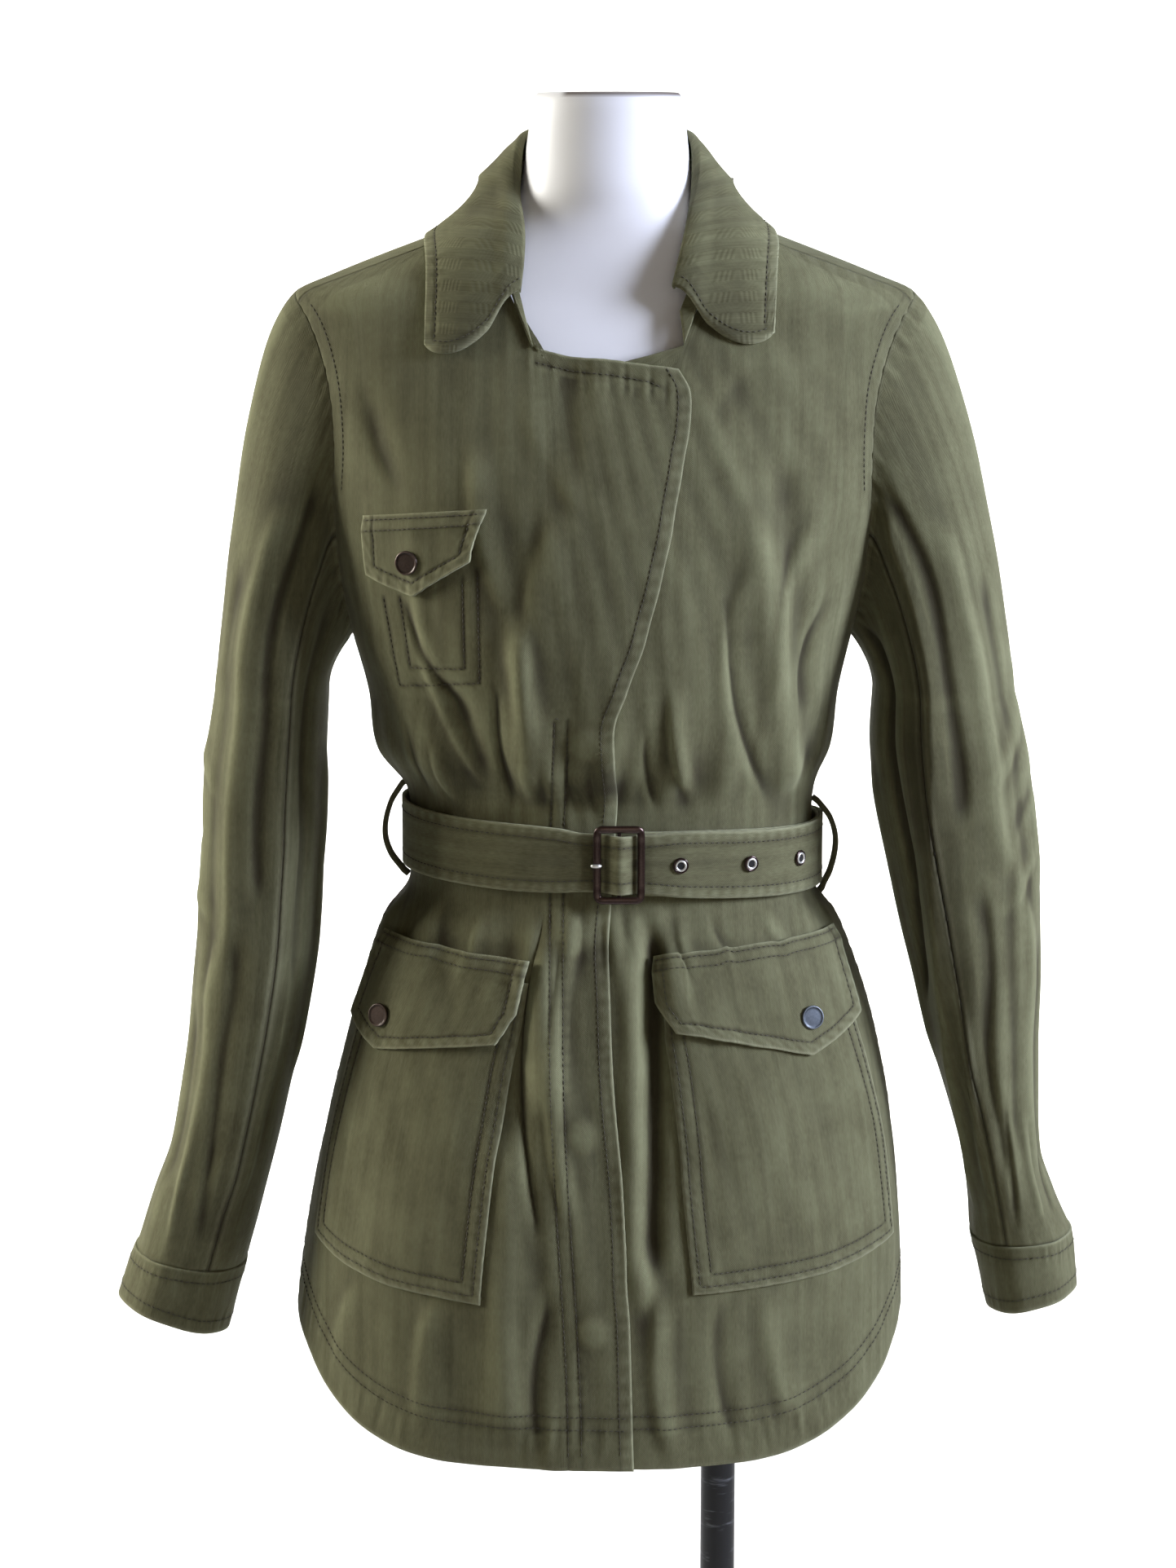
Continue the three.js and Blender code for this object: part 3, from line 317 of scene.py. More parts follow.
FOLDS = [
    # side, from x and z, to x and z, half width, height
    (-1, -90, 1010, -70, 950, 9, -4.6), (-1, -52, 1050, -44, 945, 8, 4.4),
    (-1, 88, 1110, 112, 945, 10, 3.5), (-1, 105, 1140, 125, 950, 9, -3),
    (-1, -42, 868, -34, 760, 9, 4), (-1, 31, 868, 27, 660, 8, -6.5),
    (-1, 16, 868, 22, 640, 8, 3.5), (-1, -56, 740, -62, 560, 14, 4),
    (1, -70, 1040, -48, 945, 10, 4), (1, 20, 1060, 8, 948, 10, -4),
    (1, 78, 1030, 60, 946, 11, 4), (1, -58, 866, -74, 640, 13, 4.5),
    (1, 5, 866, -6, 590, 14, -5), (1, 66, 866, 86, 650, 12, 4.5),
]
FINE_FOLDS = [
    # viewer's left of the chest: pulls from the flap down into the belt
    (-1, -118, 1060, -88, 1004, 4.5, -2.2), (-1, -112, 1072, -72, 950, 7, 1.6),
    (-1, -64, 1010, -55, 945, 4, -2.4), (-1, -102, 975, -88, 938, 4, 1.8),
    (-1, -30, 1110, -44, 985, 12, 1.8), (-1, -20, 975, -24, 938, 4, -1.3),
    (-1, -118, 985, -104, 940, 4, -1.9), (-1, -76, 1150, -58, 1060, 11, 1.6),
    (-1, -45, 1180, -12, 1120, 12, 0.9), (-1, -140, 1180, -122, 1130, 10, -1.6),
    # viewer's right of the chest
    (-1, 122, 1105, 100, 1005, 8, 2), (-1, 72, 1060, 96, 945, 5, -2),
    (-1, 40, 1010, 52, 943, 6, 2), (-1, 62, 1180, 88, 1120, 14, 1.0),
    (-1, 92, 1200, 60, 1160, 11, -0.7), (-1, 130, 1060, 118, 1000, 5, -1.8),
    (-1, 24, 985, 30, 940, 4, -1.8), (-1, 84, 1080, 70, 1000, 9, 1.4),
    # below the belt
    (-1, -70, 872, -80, 846, 5, 1.8), (-1, -95, 873, -100, 850, 5, -1.6),
    (-1, -18, 870, -24, 700, 6, 1.6), (-1, -36, 872, -42, 690, 4.5, -2.4),
    (-1, 45, 872, 52, 842, 5, 1.8), (-1, 64, 873, 74, 850, 5, -1.7), (-1, 96, 872, 108, 852, 6, 1.6),
    (-1, 34, 640, 40, 545, 10, 2.2), (-1, -100, 640, -112, 560, 13, 1.8),
    (-1, 100, 640, 118, 560, 13, 1.8), (-1, -34, 640, -40, 545, 8, -1.8),
    (-1, 70, 640, 78, 556, 8, -1.4), (-1, -150, 640, -165, 585, 9, 1.2),
    # back
    (1, -96, 1010, -84, 945, 5, -2), (1, -30, 1030, -24, 944, 6, 2.2), (1, 42, 1000, 36, 944, 5, -2),
    (1, 100, 1020, 92, 944, 7, 2), (1, -120, 1150, -96, 1060, 12, 1.8), (1, 118, 1160, 96, 1070, 12, 1.7),
    (1, -30, 868, -38, 740, 7, 2.4), (1, 34, 868, 40, 700, 7, -2.6), (1, 98, 868, 112, 720, 8, -2),
    (1, -96, 868, -108, 700, 8, -2.2), (1, 40, 640, 52, 545, 12, 2.2), (1, -90, 640, -104, 550, 12, 2),
    (1, 0, 1215, 0, 1130, 26, 1.5),
]


def fold_height(point, folds, fine=False):
    """Sum of ridges: each a bell curve across its line that fades at both ends. The line of a
    fine one bows, and one of its sides is steeper."""
    x, y, z = point[..., 0], point[..., 1], point[..., 2]
    height = np.zeros_like(x)
    for side, x0, z0, x1, z1, width, rise in folds:
        dx, dz = x1 - x0, z1 - z0
        length = math.hypot(dx, dz)
        along = ((x - x0) * dx + (z - z0) * dz) / length
        across = ((x - x0) * dz - (z - z0) * dx) / length
        if fine:
            across = across - 0.06 * length * np.sin(np.pi * np.clip(along / length, 0, 1))
            across = np.where(across > 0, across * 1.9, across)
        ends = ease(-15, 20, along) * ease(-15, 20, length - along)
        height += np.where(np.sign(y) == side, rise * ends * bell(across, width), 0)
    return height


BELT_Z = 906


def ripple(point):
    """Small uneven waves: sums of sines of mixed lengths, strongest just above and below the
    belt."""
    x, y, z = point[..., 0], point[..., 1], point[..., 2]
    turn = np.degrees(np.arctan2(x, -y))
    near = bell(np.abs(z - BELT_Z) - 40, np.where(z > BELT_Z, 46, 34))
    wander = turn + 2.5 * np.sin(z * 0.035 + turn * 0.08)
    pinched = np.sin(wander * 0.30 + 1.1) + 0.6 * np.sin(wander * 0.52 + 2.2 * np.sin(turn * 0.07))
    soft = np.sin(turn * 0.16 + z * 0.011) * np.sin(z * 0.023 + turn * 0.05 + 0.7)
    small = np.sin(turn * 0.5 + z * 0.03 + 2 * np.sin(z * 0.017)) * np.sin(z * 0.041 + turn * 0.21)
    return 1.3 * (near * pinched) + 0.8 * soft + 0.28 * small


def draped(angle, z):
    """Torso with its folds, flat where the belt holds it, calmer on the shoulders and without
    fine folds on the bare neck."""
    point = plain_torso(angle, z)
    free = ease(16, 58, np.abs(z - BELT_Z))
    calm = 1 - 0.6 * ease(1190, 1235, z)
    bare = 1 - ease(1262, 1280, z)
    fine = (1.25 * fold_height(point, FINE_FOLDS, fine=True) + ripple(point)) * calm * bare
    height = 1.2 * fold_height(point, FOLDS) + fine
    return point + normal_of(plain_torso, angle, z, 1.0, 1.0) * (height * free)[..., None]


def torso(angle, z, out):
    """The draped torso moved outwards by a height in millimetres."""
    normal = normal_of(draped, angle, z, 0.8, 1.2)
    return draped(angle, z) + normal * np.asarray(out)[..., None]


def angle_at(x, z):
    """The angle at which the front of a ring passes a given x."""
    left, right, square = (curve(RINGS[:, 0], RINGS[:, i], z) for i in (1, 2, 5))
    share = np.minimum(np.abs(x - (left + right) / 2) / ((right - left) / 2), 1) ** (square / 2)
    return np.sign(x - (left + right) / 2) * np.degrees(np.arcsin(share))


def angle_of(x, z):
    """The same for one place, as a plain number."""
    return float(angle_at(np.array(float(x)), np.array(float(z))))


def route(stretches, degree=2.6, steps=40):
    """A smooth line through [angle, z] places, in stretches that may meet at a corner,
    given back as a function of its share of length."""
    dense = []
    for places in stretches:
        points = np.array(places, float) * (degree, 1)
        gaps = np.linalg.norm(np.diff(points, axis=0), axis=1) ** 0.5
        knots = np.concatenate([[0], np.cumsum(gaps)])
        t = np.linspace(0, knots[-1], steps * (len(points) - 1) + 1)
        if len(points) > 2:
            dense.append(np.stack([curve(knots, points[:, i], t) for i in (0, 1)], -1))
        else:
            dense.append(np.stack([np.interp(t, knots, points[:, i]) for i in (0, 1)], -1))
    line = np.concatenate(dense)
    keep = np.concatenate([[True], np.linalg.norm(np.diff(line, axis=0), axis=1) > 1e-6])
    line = line[keep]
    length = lengths(line)
    length /= length[-1]
    return lambda t: np.stack(
        [np.interp(t, length, line[:, 0]) / degree, np.interp(t, length, line[:, 1])], -1)


def from_x(places):
    """Places of x and z on the front, as places of angle and z."""
    return [(angle_of(x, z), z) for x, z in places]


def patch(bottom, top, start, end, power=1):
    """Between four lines: start to end across, plus the bend of the bottom and top lines,
    which dies out away from them with the given power."""
    def place(u, v):
        u3, v3 = u[..., None], v[..., None]
        low = bottom(u) - mix(bottom(0 * u), bottom(0 * u + 1), u3)
        high = top(u) - mix(top(0 * u), top(0 * u + 1), u3)
        return mix(start(v), end(v), u3) + (1 - v3) ** power * low + v3 ** power * high
    return place


# Back: one yoke-less panel of twill between the side seams, sewn to the fronts, sleeves and collar.
# The panel's outlines are lines of angle and height on the torso; a closing patch fills them.
HEM_FRONT, HEM_SIDE, ARMPIT, SHOULDER = 536, 606, 1035, 1243
WALL, DOUBLE, SEAM = 1.5, 2.1, 0.3
SHELL = 1.2
HALF_GAP = 0.08
BELT_SHARE = 0.5
NECK_SIDE = 60
SEAM_END_Z, SEAM_END_ANGLE = 1236, 76
SHOULDER_GAP = 0.3
SHOULDER_LEFT = [(-68, 1252), (-62, 1266)]
SHOULDER_RIGHT = [(68, 1252), (62, 1267)]
ARMHOLE = np.array([
    # height, degrees in front of the side seam, degrees behind it
    (1035, 0, 0), (1040, 5, 6), (1060, 12, 15), (1090, 18.5, 22), (1124, 24, 26.5), (1155, 27.5, 28),
    (1190, 28, 27), (1218, 23.5, 22), (1234, 16, 15), (1240, 9, 9), (1243, 0, 0),
], float)


def hem(start, end):
    """Shirt-tail hem: lowest in front and behind, rising to the side seams."""
    def line(t):
        angle = mix(start, end, t)
        lift = np.abs(np.sin(np.radians(angle))) ** 4.5
        return np.stack([angle, mix(HEM_FRONT, HEM_SIDE, lift)], -1)
    return line


def tiered(lower, upper):
    """Edge by height below the belt and by its own length above it."""
    def line(v):
        low = lower(np.clip(v / BELT_SHARE, 0, 1))
        high = upper(np.clip((v - BELT_SHARE) / (1 - BELT_SHARE), 0, 1))
        return np.where((v < BELT_SHARE)[..., None], low, high)
    return line


def outer_edge(turn, facing, start=0):
    """Side seam up to the armpit, then the armhole round to the shoulder seam."""
    depth = ARMHOLE[:, 1] if facing > 0 else ARMHOLE[:, 2]

    def place(off):
        return start + turn * (90 - facing * off)

    heights = ARMHOLE[1:8, 0]
    armhole = [(place(float(curve(ARMHOLE[:, 0], depth, z)) + HALF_GAP), z) for z in heights]
    last = start + turn * (SEAM_END_ANGLE - HALF_GAP)
    if facing < 0:
        last = start + turn * (SEAM_END_ANGLE + SHOULDER_GAP)
        armhole += [(place(9), 1240), (place(0), SHOULDER), (place(-9), 1240)]
    side = place(HALF_GAP)

    def straight(t):
        return np.stack([side + 0 * t, mix(HEM_SIDE, BELT_Z, t)], -1)

    return tiered(straight, route([[(side, BELT_Z), (side, ARMPIT)],
                                   [(side, ARMPIT)] + armhole + [(last, SEAM_END_Z)]]))


def turned(places, degrees=360):
    """The same places a full turn further on, or back."""
    return [(angle + degrees, z) for angle, z in places]


def sheet_faces(rows, columns, closed=False):
    """Quads of a grid held row by row; closed joins the last column to the first."""
    j, i = np.meshgrid(np.arange(rows - 1), np.arange(columns - (0 if closed else 1)), indexing="ij")
    right = (i + 1) % columns
    quads = [j * columns + i, j * columns + right, (j + 1) * columns + right, (j + 1) * columns + i]
    return np.stack(quads, -1).reshape(-1, 4)


def cloth_uv(made, points, closed=False, grain_x=None, lengthwise=False):
    """UV map in metres: across along each row from its middle, or from where the row passes
    grain_x, and up along the middle column. Lengthwise cloth has the two changed over."""
    if closed:
        points = np.concatenate([points, points[:, :1]], 1)
    points = points * 0.001
    rows, columns = points.shape[:2]
    across = lengths(points, 1)
    column = np.full(rows, columns // 2)
    if grain_x is not None:
        column = np.abs(points[..., 0] - grain_x * 0.001).argmin(1)
        padded = np.pad(column, 12, "edge")
        column = np.round(np.convolve(padded, np.full(25, 1 / 25), "valid")).astype(int)
    here = points[np.arange(rows), column]
    slip = 0 if grain_x is None else here[:, :1] - grain_x * 0.001
    across -= across[np.arange(rows), column][:, None] - slip
    up = lengths(points[:, columns // 2])
    drop = points[..., 2] - points[:, columns // 2, 2][:, None]
    uv = np.stack([across, up[:, None] + drop], -1).reshape(-1, 2)
    if lengthwise:
        uv = uv[:, ::-1]
    layer = made.data.uv_layers.new(name="cloth")
    corners = sheet_faces(rows, columns).ravel()
    layer.data.foreach_set("uv", uv[corners].astype(np.float32).ravel())


def give(made, name, values):
    """A value for each vertex, which the material reads by name."""
    layer = made.data.attributes.new(name, "FLOAT", "POINT")
    layer.data.foreach_set("value", np.asarray(values, np.float32).ravel())


def hollow(points, steps=(2, 5)):
    """How far each point lies below the mean of its neighbours a few steps away, summed."""
    total = np.zeros(points.shape[:2])
    normal = grid_normal(points)
    for step in steps:
        padded = np.pad(points, ((step, step), (step, step), (0, 0)), "edge")
        around = (padded[:-2 * step, step:-step] + padded[2 * step:, step:-step]
                  + padded[step:-step, :-2 * step] + padded[step:-step, 2 * step:]) / 4
        total += np.sum((around - points) * normal, -1) / step
    edge = max(steps)
    total[:edge] = total[-edge:] = 0
    total[:, :edge] = total[:, -edge:] = 0
    return total


def grid_normal(points, closed=False):
    """Outward direction of a grid: along the row crossed with up the column."""
    if closed:
        along = np.roll(points, -1, 1) - np.roll(points, 1, 1)
    else:
        along = np.gradient(points, axis=1)
    return unit(np.cross(along, np.gradient(points, axis=0)))


def with_rim(points, thickness, turn=5):
    """A border round a grid: straight in by the thickness, then back under the panel, as the
    turned edge of a hem or seam lies."""
    normal = grid_normal(points)
    for axis in (1, 0):
        grid, way = points.swapaxes(0, axis), normal.swapaxes(0, axis)
        inner = []
        for edge, next_in in ((0, 3), (-1, -4)):
            back = unit(grid[next_in] - grid[edge])
            near = grid[edge] - way[edge] * thickness
            inner.append((near, near + back * turn))
        grid = np.concatenate([inner[0][1][None], inner[0][0][None], grid,
                               inner[1][0][None], inner[1][1][None]])
        way = np.concatenate([way[:1], way[:1], way, way[-1:], way[-1:]])
        points, normal = grid.swapaxes(0, axis), way.swapaxes(0, axis)
    return points


def cloth_piece(name, points, wear=0, painted_shade=0, thickness=SHELL, closed=False, rim=False,
                grain_x=None, lengthwise=False):
    """A sheet from a grid of outer points with its UVs, its wear, its painted shade and its
    painted highlight. Small pieces get a closed wall inwards, large panels a border turned in
    along every edge."""
    rows, columns = points.shape[:2]
    blank = np.zeros((rows, columns))
    lie = blank if closed else hollow(points)
    wide = blank if closed else hollow(points, (4, 9))
    wide = wide - np.median(wide, axis=1, keepdims=True)
    lie = lie - np.median(lie, axis=1, keepdims=True)
    # Painted shade in hollows, along with the given creases and stitch lines, and painted highlight on
    # crests, from how far each point lies below or above its neighbours.
    values = {
        "wear": np.clip(blank + wear, 0, 1),
        "painted_shade": np.clip(0.8 * lie + 2.1 * np.maximum(wide, 0) + painted_shade, 0, 1),
        "painted_highlight": np.clip(-2.4 * wide - 0.8 * lie, 0, 1),
    }
    if rim:
        points = with_rim(points, thickness)
        values = {key: np.pad(value, 2, "edge") for key, value in values.items()}
        rows, columns = points.shape[:2]
    made = grid_object(f"{name}_dressed", points, sheet_faces(rows, columns, closed))
    cloth_uv(made, points, closed, grain_x, lengthwise)
    for key, value in values.items():
        give(made, key, value)
    made.data.materials.append(twill)
    if not rim:
        solid = made.modifiers.new("cloth thickness", "SOLIDIFY")
        solid.thickness = thickness * 0.001
        solid.offset = -1
        solid.use_even_offset = False
    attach(made, "root")
    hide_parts(name)
    return made


def from_edge(points, edge):
    """Distance in millimetres of every grid point from one edge, along its row or column."""
    axis = 0 if edge in ("bottom", "top") else 1
    length = lengths(points, axis)
    if edge in ("top", "end"):
        length = (length[-1:] if axis == 0 else length[:, -1:]) - length
    return length


def pucker(distance, along, reach, period, phase=0.0):
    """Gathers beside a seam: uneven waves along it that die out with the distance from it."""
    wave = np.sin(2 * np.pi * along / period + phase + 1.7 * np.sin(along / (2.9 * period) + phase))
    wave += 0.6 * np.sin(2 * np.pi * along / (period * 0.61) + 2.3 * phase + 0.8)
    gathers = 0.35 + 0.65 * ease(-0.6, 0.9, np.sin(along / 41 + 3 * phase) + np.sin(along / 17.3))
    return 0.5 * wave * gathers * bell(distance, reach)


def beats(length, wander):
    """Wear that comes and goes along a sewn edge: a sine whose own place wanders."""
    return 0.5 + 0.5 * np.sin(length + wander)


def back_place():
    """The back's outline: hem, two side seams with their armholes, shoulders and neck."""
    right, left = SHOULDER_RIGHT, turned(SHOULDER_LEFT)
    gap = SHOULDER_GAP
    top = route([
        [(SEAM_END_ANGLE + gap, SEAM_END_Z)] + [(a + gap, z) for a, z in right],
        [(right[-1][0] + gap, right[-1][1]), (NECK_SIDE, 1289)],
        [(NECK_SIDE, 1289), (90, 1295), (135, 1293), (180, 1292), (225, 1293), (270, 1295),
         (360 - NECK_SIDE, 1289)],
        [(360 - NECK_SIDE, 1289), (left[-1][0] - gap, left[-1][1])],
        [(a - gap, z) for a, z in left[::-1]] + [(360 - SEAM_END_ANGLE - gap, SEAM_END_Z)],
    ], degree=7)
    bottom = hem(90 + HALF_GAP, 270 - HALF_GAP)
    return patch(bottom, top, outer_edge(1, -1), outer_edge(-1, -1, 360), 10)


HEM_LINES, HEM_WIDTH = (26, 34), 1.4
SEAM_LINE = 8.5


def back_panel():
    """The back lies WALL outside the torso, gathered beside its hem and side seams."""
    u, v = np.meshgrid(np.linspace(0, 1, 200), np.linspace(0, 1, 260))
    place = back_place()(u, v)
    base = torso(place[..., 0], place[..., 1], WALL + 0 * u)
    low, left, right = from_edge(base, "bottom"), from_edge(base, "start"), from_edge(base, "end")
    extra = 0.5 * pucker(low - 17, left, 12, 11, 0.6) + 0.4 * pucker(left, low, 8, 10, 1.0)
    extra += 0.4 * pucker(right, low, 8, 9.4, 2.0)
    points = torso(place[..., 0], place[..., 1], WALL + extra)
    wear = 0.7 * bell(low) + 0.25 * bell(left) + 0.25 * bell(right)
    # Painted shade along the hem's two lines of stitching.
    painted_shade = sum(0.5 * bell(low - line, HEM_WIDTH) for line in HEM_LINES)
    made = cloth_piece("back", points, wear, painted_shade, rim=True, grain_x=0)
    return points


back_points = back_panel()


# Fronts: two panels of twill whose edges lap at the viewer's right of the middle. The top one
# has a turned edge with a hidden placket; both are sewn to the back at the sides and shoulders.
FRONT_EDGE = [(18, 536), (15, 632), (12, 710), (7, 764), (4, 812), (4, 882), (7, 932), (5, 971), (6, 995),
              (12, 1013), (23, 1042), (35, 1089), (43, 1131), (49, 1164), (50, 1185), (43, 1199)]
UNDER_EDGE = [(-24, 536), (-24, 700), (-27, 800), (-26, 900), (-26, 1000), (-20, 1060), (-8, 1130),
              (2, 1180), (6, 1203)]
NECK_LEFT = [(-61, 1289), (-60, 1272), (-57, 1252), (-50, 1230), (-42, 1212)]
NECK_RIGHT = [(46, 1213), (53, 1231), (59, 1252), (62, 1273), (63, 1289)]
LAP = 3


def edge_x(places, z):
    """x of a front edge at each height."""
    places = np.array(places, float)
    return curve(places[:, 1], places[:, 0], z)


def lap_out(angle, z):
    """The top front lies 3 mm further out where it covers the under front."""
    edge = edge_x(UNDER_EDGE, z)
    return WALL + LAP * ease(edge - 30, edge - 4, plain_torso(angle, z)[..., 0])


def front_edge(places):
    """A front's free edge: by height to the belt, then by its own length."""
    def low(t):
        z = mix(HEM_FRONT, BELT_Z, t)
        return np.stack([angle_at(edge_x(places, z), z), z], -1)

    above = [(x, z) for x, z in places if z > BELT_Z + 10]
    start = (float(edge_x(places, BELT_Z)), BELT_Z)
    return tiered(low, route([from_x([start] + above)]))


def front_right_place():
    """Outline of the top front: hem, armhole, shoulder, neck and free edge."""
    left = SHOULDER_LEFT
    top = route([
        [(-SEAM_END_ANGLE, SEAM_END_Z)] + left, [left[-1], (-NECK_SIDE, 1286)],
        [(-NECK_SIDE, 1286)] + from_x(NECK_LEFT[1:]),
        from_x([NECK_LEFT[-1], (-20, 1207), (6, 1204), (28, 1201), (43, 1199)]),
    ], degree=7)
    bottom = hem(-90 + HALF_GAP, angle_of(FRONT_EDGE[0][0], HEM_FRONT))
    return patch(bottom, top, outer_edge(-1, 1), front_edge(FRONT_EDGE), 6)


def front_left_place():
    """Outline of the under front, the other way round."""
    right = SHOULDER_RIGHT
    top = route([
        from_x([(6, 1203), (28, 1208), (46, 1213)]), from_x(NECK_RIGHT[:-1]) + [(NECK_SIDE, 1286)],
        [(NECK_SIDE, 1286), right[-1]], right[::-1] + [(SEAM_END_ANGLE, SEAM_END_Z)],
    ], degree=7)
    start = angle_of(UNDER_EDGE[0][0], HEM_FRONT)
    return patch(hem(start, 90 - HALF_GAP), top, front_edge(UNDER_EDGE), outer_edge(1, 1), 6)


# Lines of x and z, seen from the front: the chest pocket's bag, sewn through twice behind its
# flap, the neckline's band, the placket's double line, and the four covered snaps in it.
BAG_LINES = [[(-132, 1064), (-123, 1011), (-74, 1017), (-75, 1084)],
             [(-122, 1065), (-116, 1023), (-83, 1025), (-84, 1079)]]
BAND_LINE = [(-41, 1204), (-20, 1199), (4, 1197), (26, 1193), (35, 1189)]


def line_distance(points, places):
    """Distance seen from the front to a bent line: the least over its straight stretches."""
    x, z = points[..., 0], points[..., 2]
    nearest = np.full(x.shape, 1e6)
    for (x0, z0), (x1, z1) in zip(places[:-1], places[1:]):
        dx, dz = x1 - x0, z1 - z0
        t = np.clip(((x - x0) * dx + (z - z0) * dz) / (dx * dx + dz * dz), 0, 1)
        nearest = np.minimum(nearest, np.hypot(x - x0 - t * dx, z - z0 - t * dz))
    return nearest


BUMPS = [(-11, 982), (-18, 860), (-13, 742), (-7, 623)]
PLACKET_LOW, PLACKET_TOP, PLACKET_LINES, EDGE_LINE = 545, 997, (0, 8), 8
NECK_X, SHOULDER_RIGHT_X, SHOULDER_LEFT_X = -44, 66, -64
SHOULDER_LINE_Z = 1124


def placket_x(z):
    """The placket's inner stitch line: it leans out below the belt and at the chest."""
    return mix(-33, -22, ease(800, 540, z)) + 3 * ease(900, 1000, z)


def front_panels():
    """Both fronts lie on the torso, gathered beside their seams, pressed in along every
    stitched line, and rubbed pale on their free edges."""
    u, v = np.meshgrid(np.linspace(0, 1, 240), np.linspace(0, 1, 300))

    place = front_right_place()(u, v)
    angle, z = place[..., 0], place[..., 1]
    lie = lap_out(angle, z)
    base = torso(angle, z, lie)
    low, side, edge = from_edge(base, "bottom"), from_edge(base, "start"), from_edge(base, "end")
    extra = 0.5 * pucker(low - 17, side, 12, 11, 0.2) + 0.5 * pucker(edge - 4, low, 5, 9, 0.9)
    extra += 0.4 * pucker(side, low, 8, 10, 1.0) * (z < ARMPIT)
    in_placket = z < PLACKET_TOP
    for shift in PLACKET_LINES:
        off = np.abs(base[..., 0] - placket_x(z) - shift)
        extra += (0.3 * pucker(off, z, 5, 9.5, 0.4 + shift) - 0.5 * bell(off, 1.3)) * in_placket
    for x, height in BUMPS:
        extra += 1.3 * np.exp(-((((base[..., 0] - x) ** 2 + (z - height) ** 2) ** 0.5) / 9.5) ** 4)
    bag = sum(bell(line_distance(base, places), 1.3) for places in BAG_LINES)
    band, top = line_distance(base, BAND_LINE), from_edge(base, "top")
    extra += 0.6 * pucker(band, base[..., 0], 9, 8, 0.5) - 0.45 * bag - 0.4 * bell(band, 1.3)
    points = torso(angle, z, lie + extra)
    beat = beats(low * 0.66, 2 * np.sin(low * 0.05))
    wear = 0.9 * bell(edge, 1.3) + 0.3 * beat * bell(edge - 4, 3.5) + 0.7 * bell(low)
    wear += 0.8 * bell(top, 1.5) * (base[..., 0] > NECK_X) + 0.25 * bell(side)
    # Painted shade along the stitching of the hem, free edge, placket, pocket bag, band and shoulder, and
    # in a band along the top edge beside the armhole.
    painted_shade = 0.45 * sum(bell(low - line, HEM_WIDTH) for line in HEM_LINES)
    painted_shade += 0.5 * bell(edge - EDGE_LINE, 1.2)
    for shift in PLACKET_LINES:
        painted_shade += 0.5 * bell(base[..., 0] - placket_x(z) - shift, 1.2) * in_placket
    painted_shade += 0.55 * bag + 0.5 * bell(band, 1.2)
    painted_shade += 1.1 * bell(top, 1.9) * (base[..., 0] < SHOULDER_LEFT_X)
    painted_shade += 0.4 * bell(side - SEAM_LINE, 1.3) * (z > SHOULDER_LINE_Z)
    made = cloth_piece("front_right", points, wear, painted_shade, rim=True, grain_x=-60)

    place = front_left_place()(u, v)
    angle, z = place[..., 0], place[..., 1]
    base = torso(angle, z, WALL + 0 * u)
    low, side = from_edge(base, "bottom"), from_edge(base, "end")
    extra = 0.5 * pucker(low - 17, side, 12, 11, 1.2)
    extra += 0.4 * pucker(side, low, 8, 10, 0.5) * (z < ARMPIT)
    clear = ease(20, 60, base[..., 0] - edge_x(FRONT_EDGE, z))
    under = torso(angle, z, WALL + extra * clear)
    wear = 0.7 * bell(low) + 0.25 * bell(side)
    # Painted shade along the stitching of the hem and shoulder, and in a band along the top edge beside
    # the armhole.
    painted_shade = 0.45 * sum(bell(low - line, HEM_WIDTH) for line in HEM_LINES)
    painted_shade += 0.4 * bell(side - SEAM_LINE, 1.3) * (z > SHOULDER_LINE_Z)
    painted_shade += 1.1 * bell(from_edge(base, "top"), 1.9) * (base[..., 0] > SHOULDER_RIGHT_X)
    made = cloth_piece("front_left", under, wear, painted_shade, rim=True, grain_x=80)
    return points, under


front_right_points, front_left_points = front_panels()


# Sleeves: two-piece coat sleeves of the same twill, an upper and an under sleeve joined by two
# seams, hanging empty from the armholes, flattened, and creased at the elbow and down the front.
SLEEVE_ROWS = {
    # height, inner side, outer side, depth, how much higher the outer end lies
    "left": np.array([
        (637, -229, -297, 42, 11), (675, -218, -285, 44, 8), (708, -209, -274, 46, 4),
        (772, -193, -262, 50, 0), (835, -181, -255, 54, 0), (898, -176, -250, 57, 0),
        (960, -173, -245, 60, 0), (1000, -171, -239, 61, 0)], float),
    "right": np.array([
        (652, 235, 296, 42, 5), (675, 233, 286, 44, 4), (708, 228, 276, 46, 2), (772, 208, 273, 50, 0),
        (835, 192, 273, 54, 0), (898, 177, 270, 57, 0), (960, 166, 262, 60, 0), (1000, 167, 252, 61, 0)],
        float),
}
CAP_SHARE = 0.36
UNDER_FRONT, UNDER_BACK = 112, 245
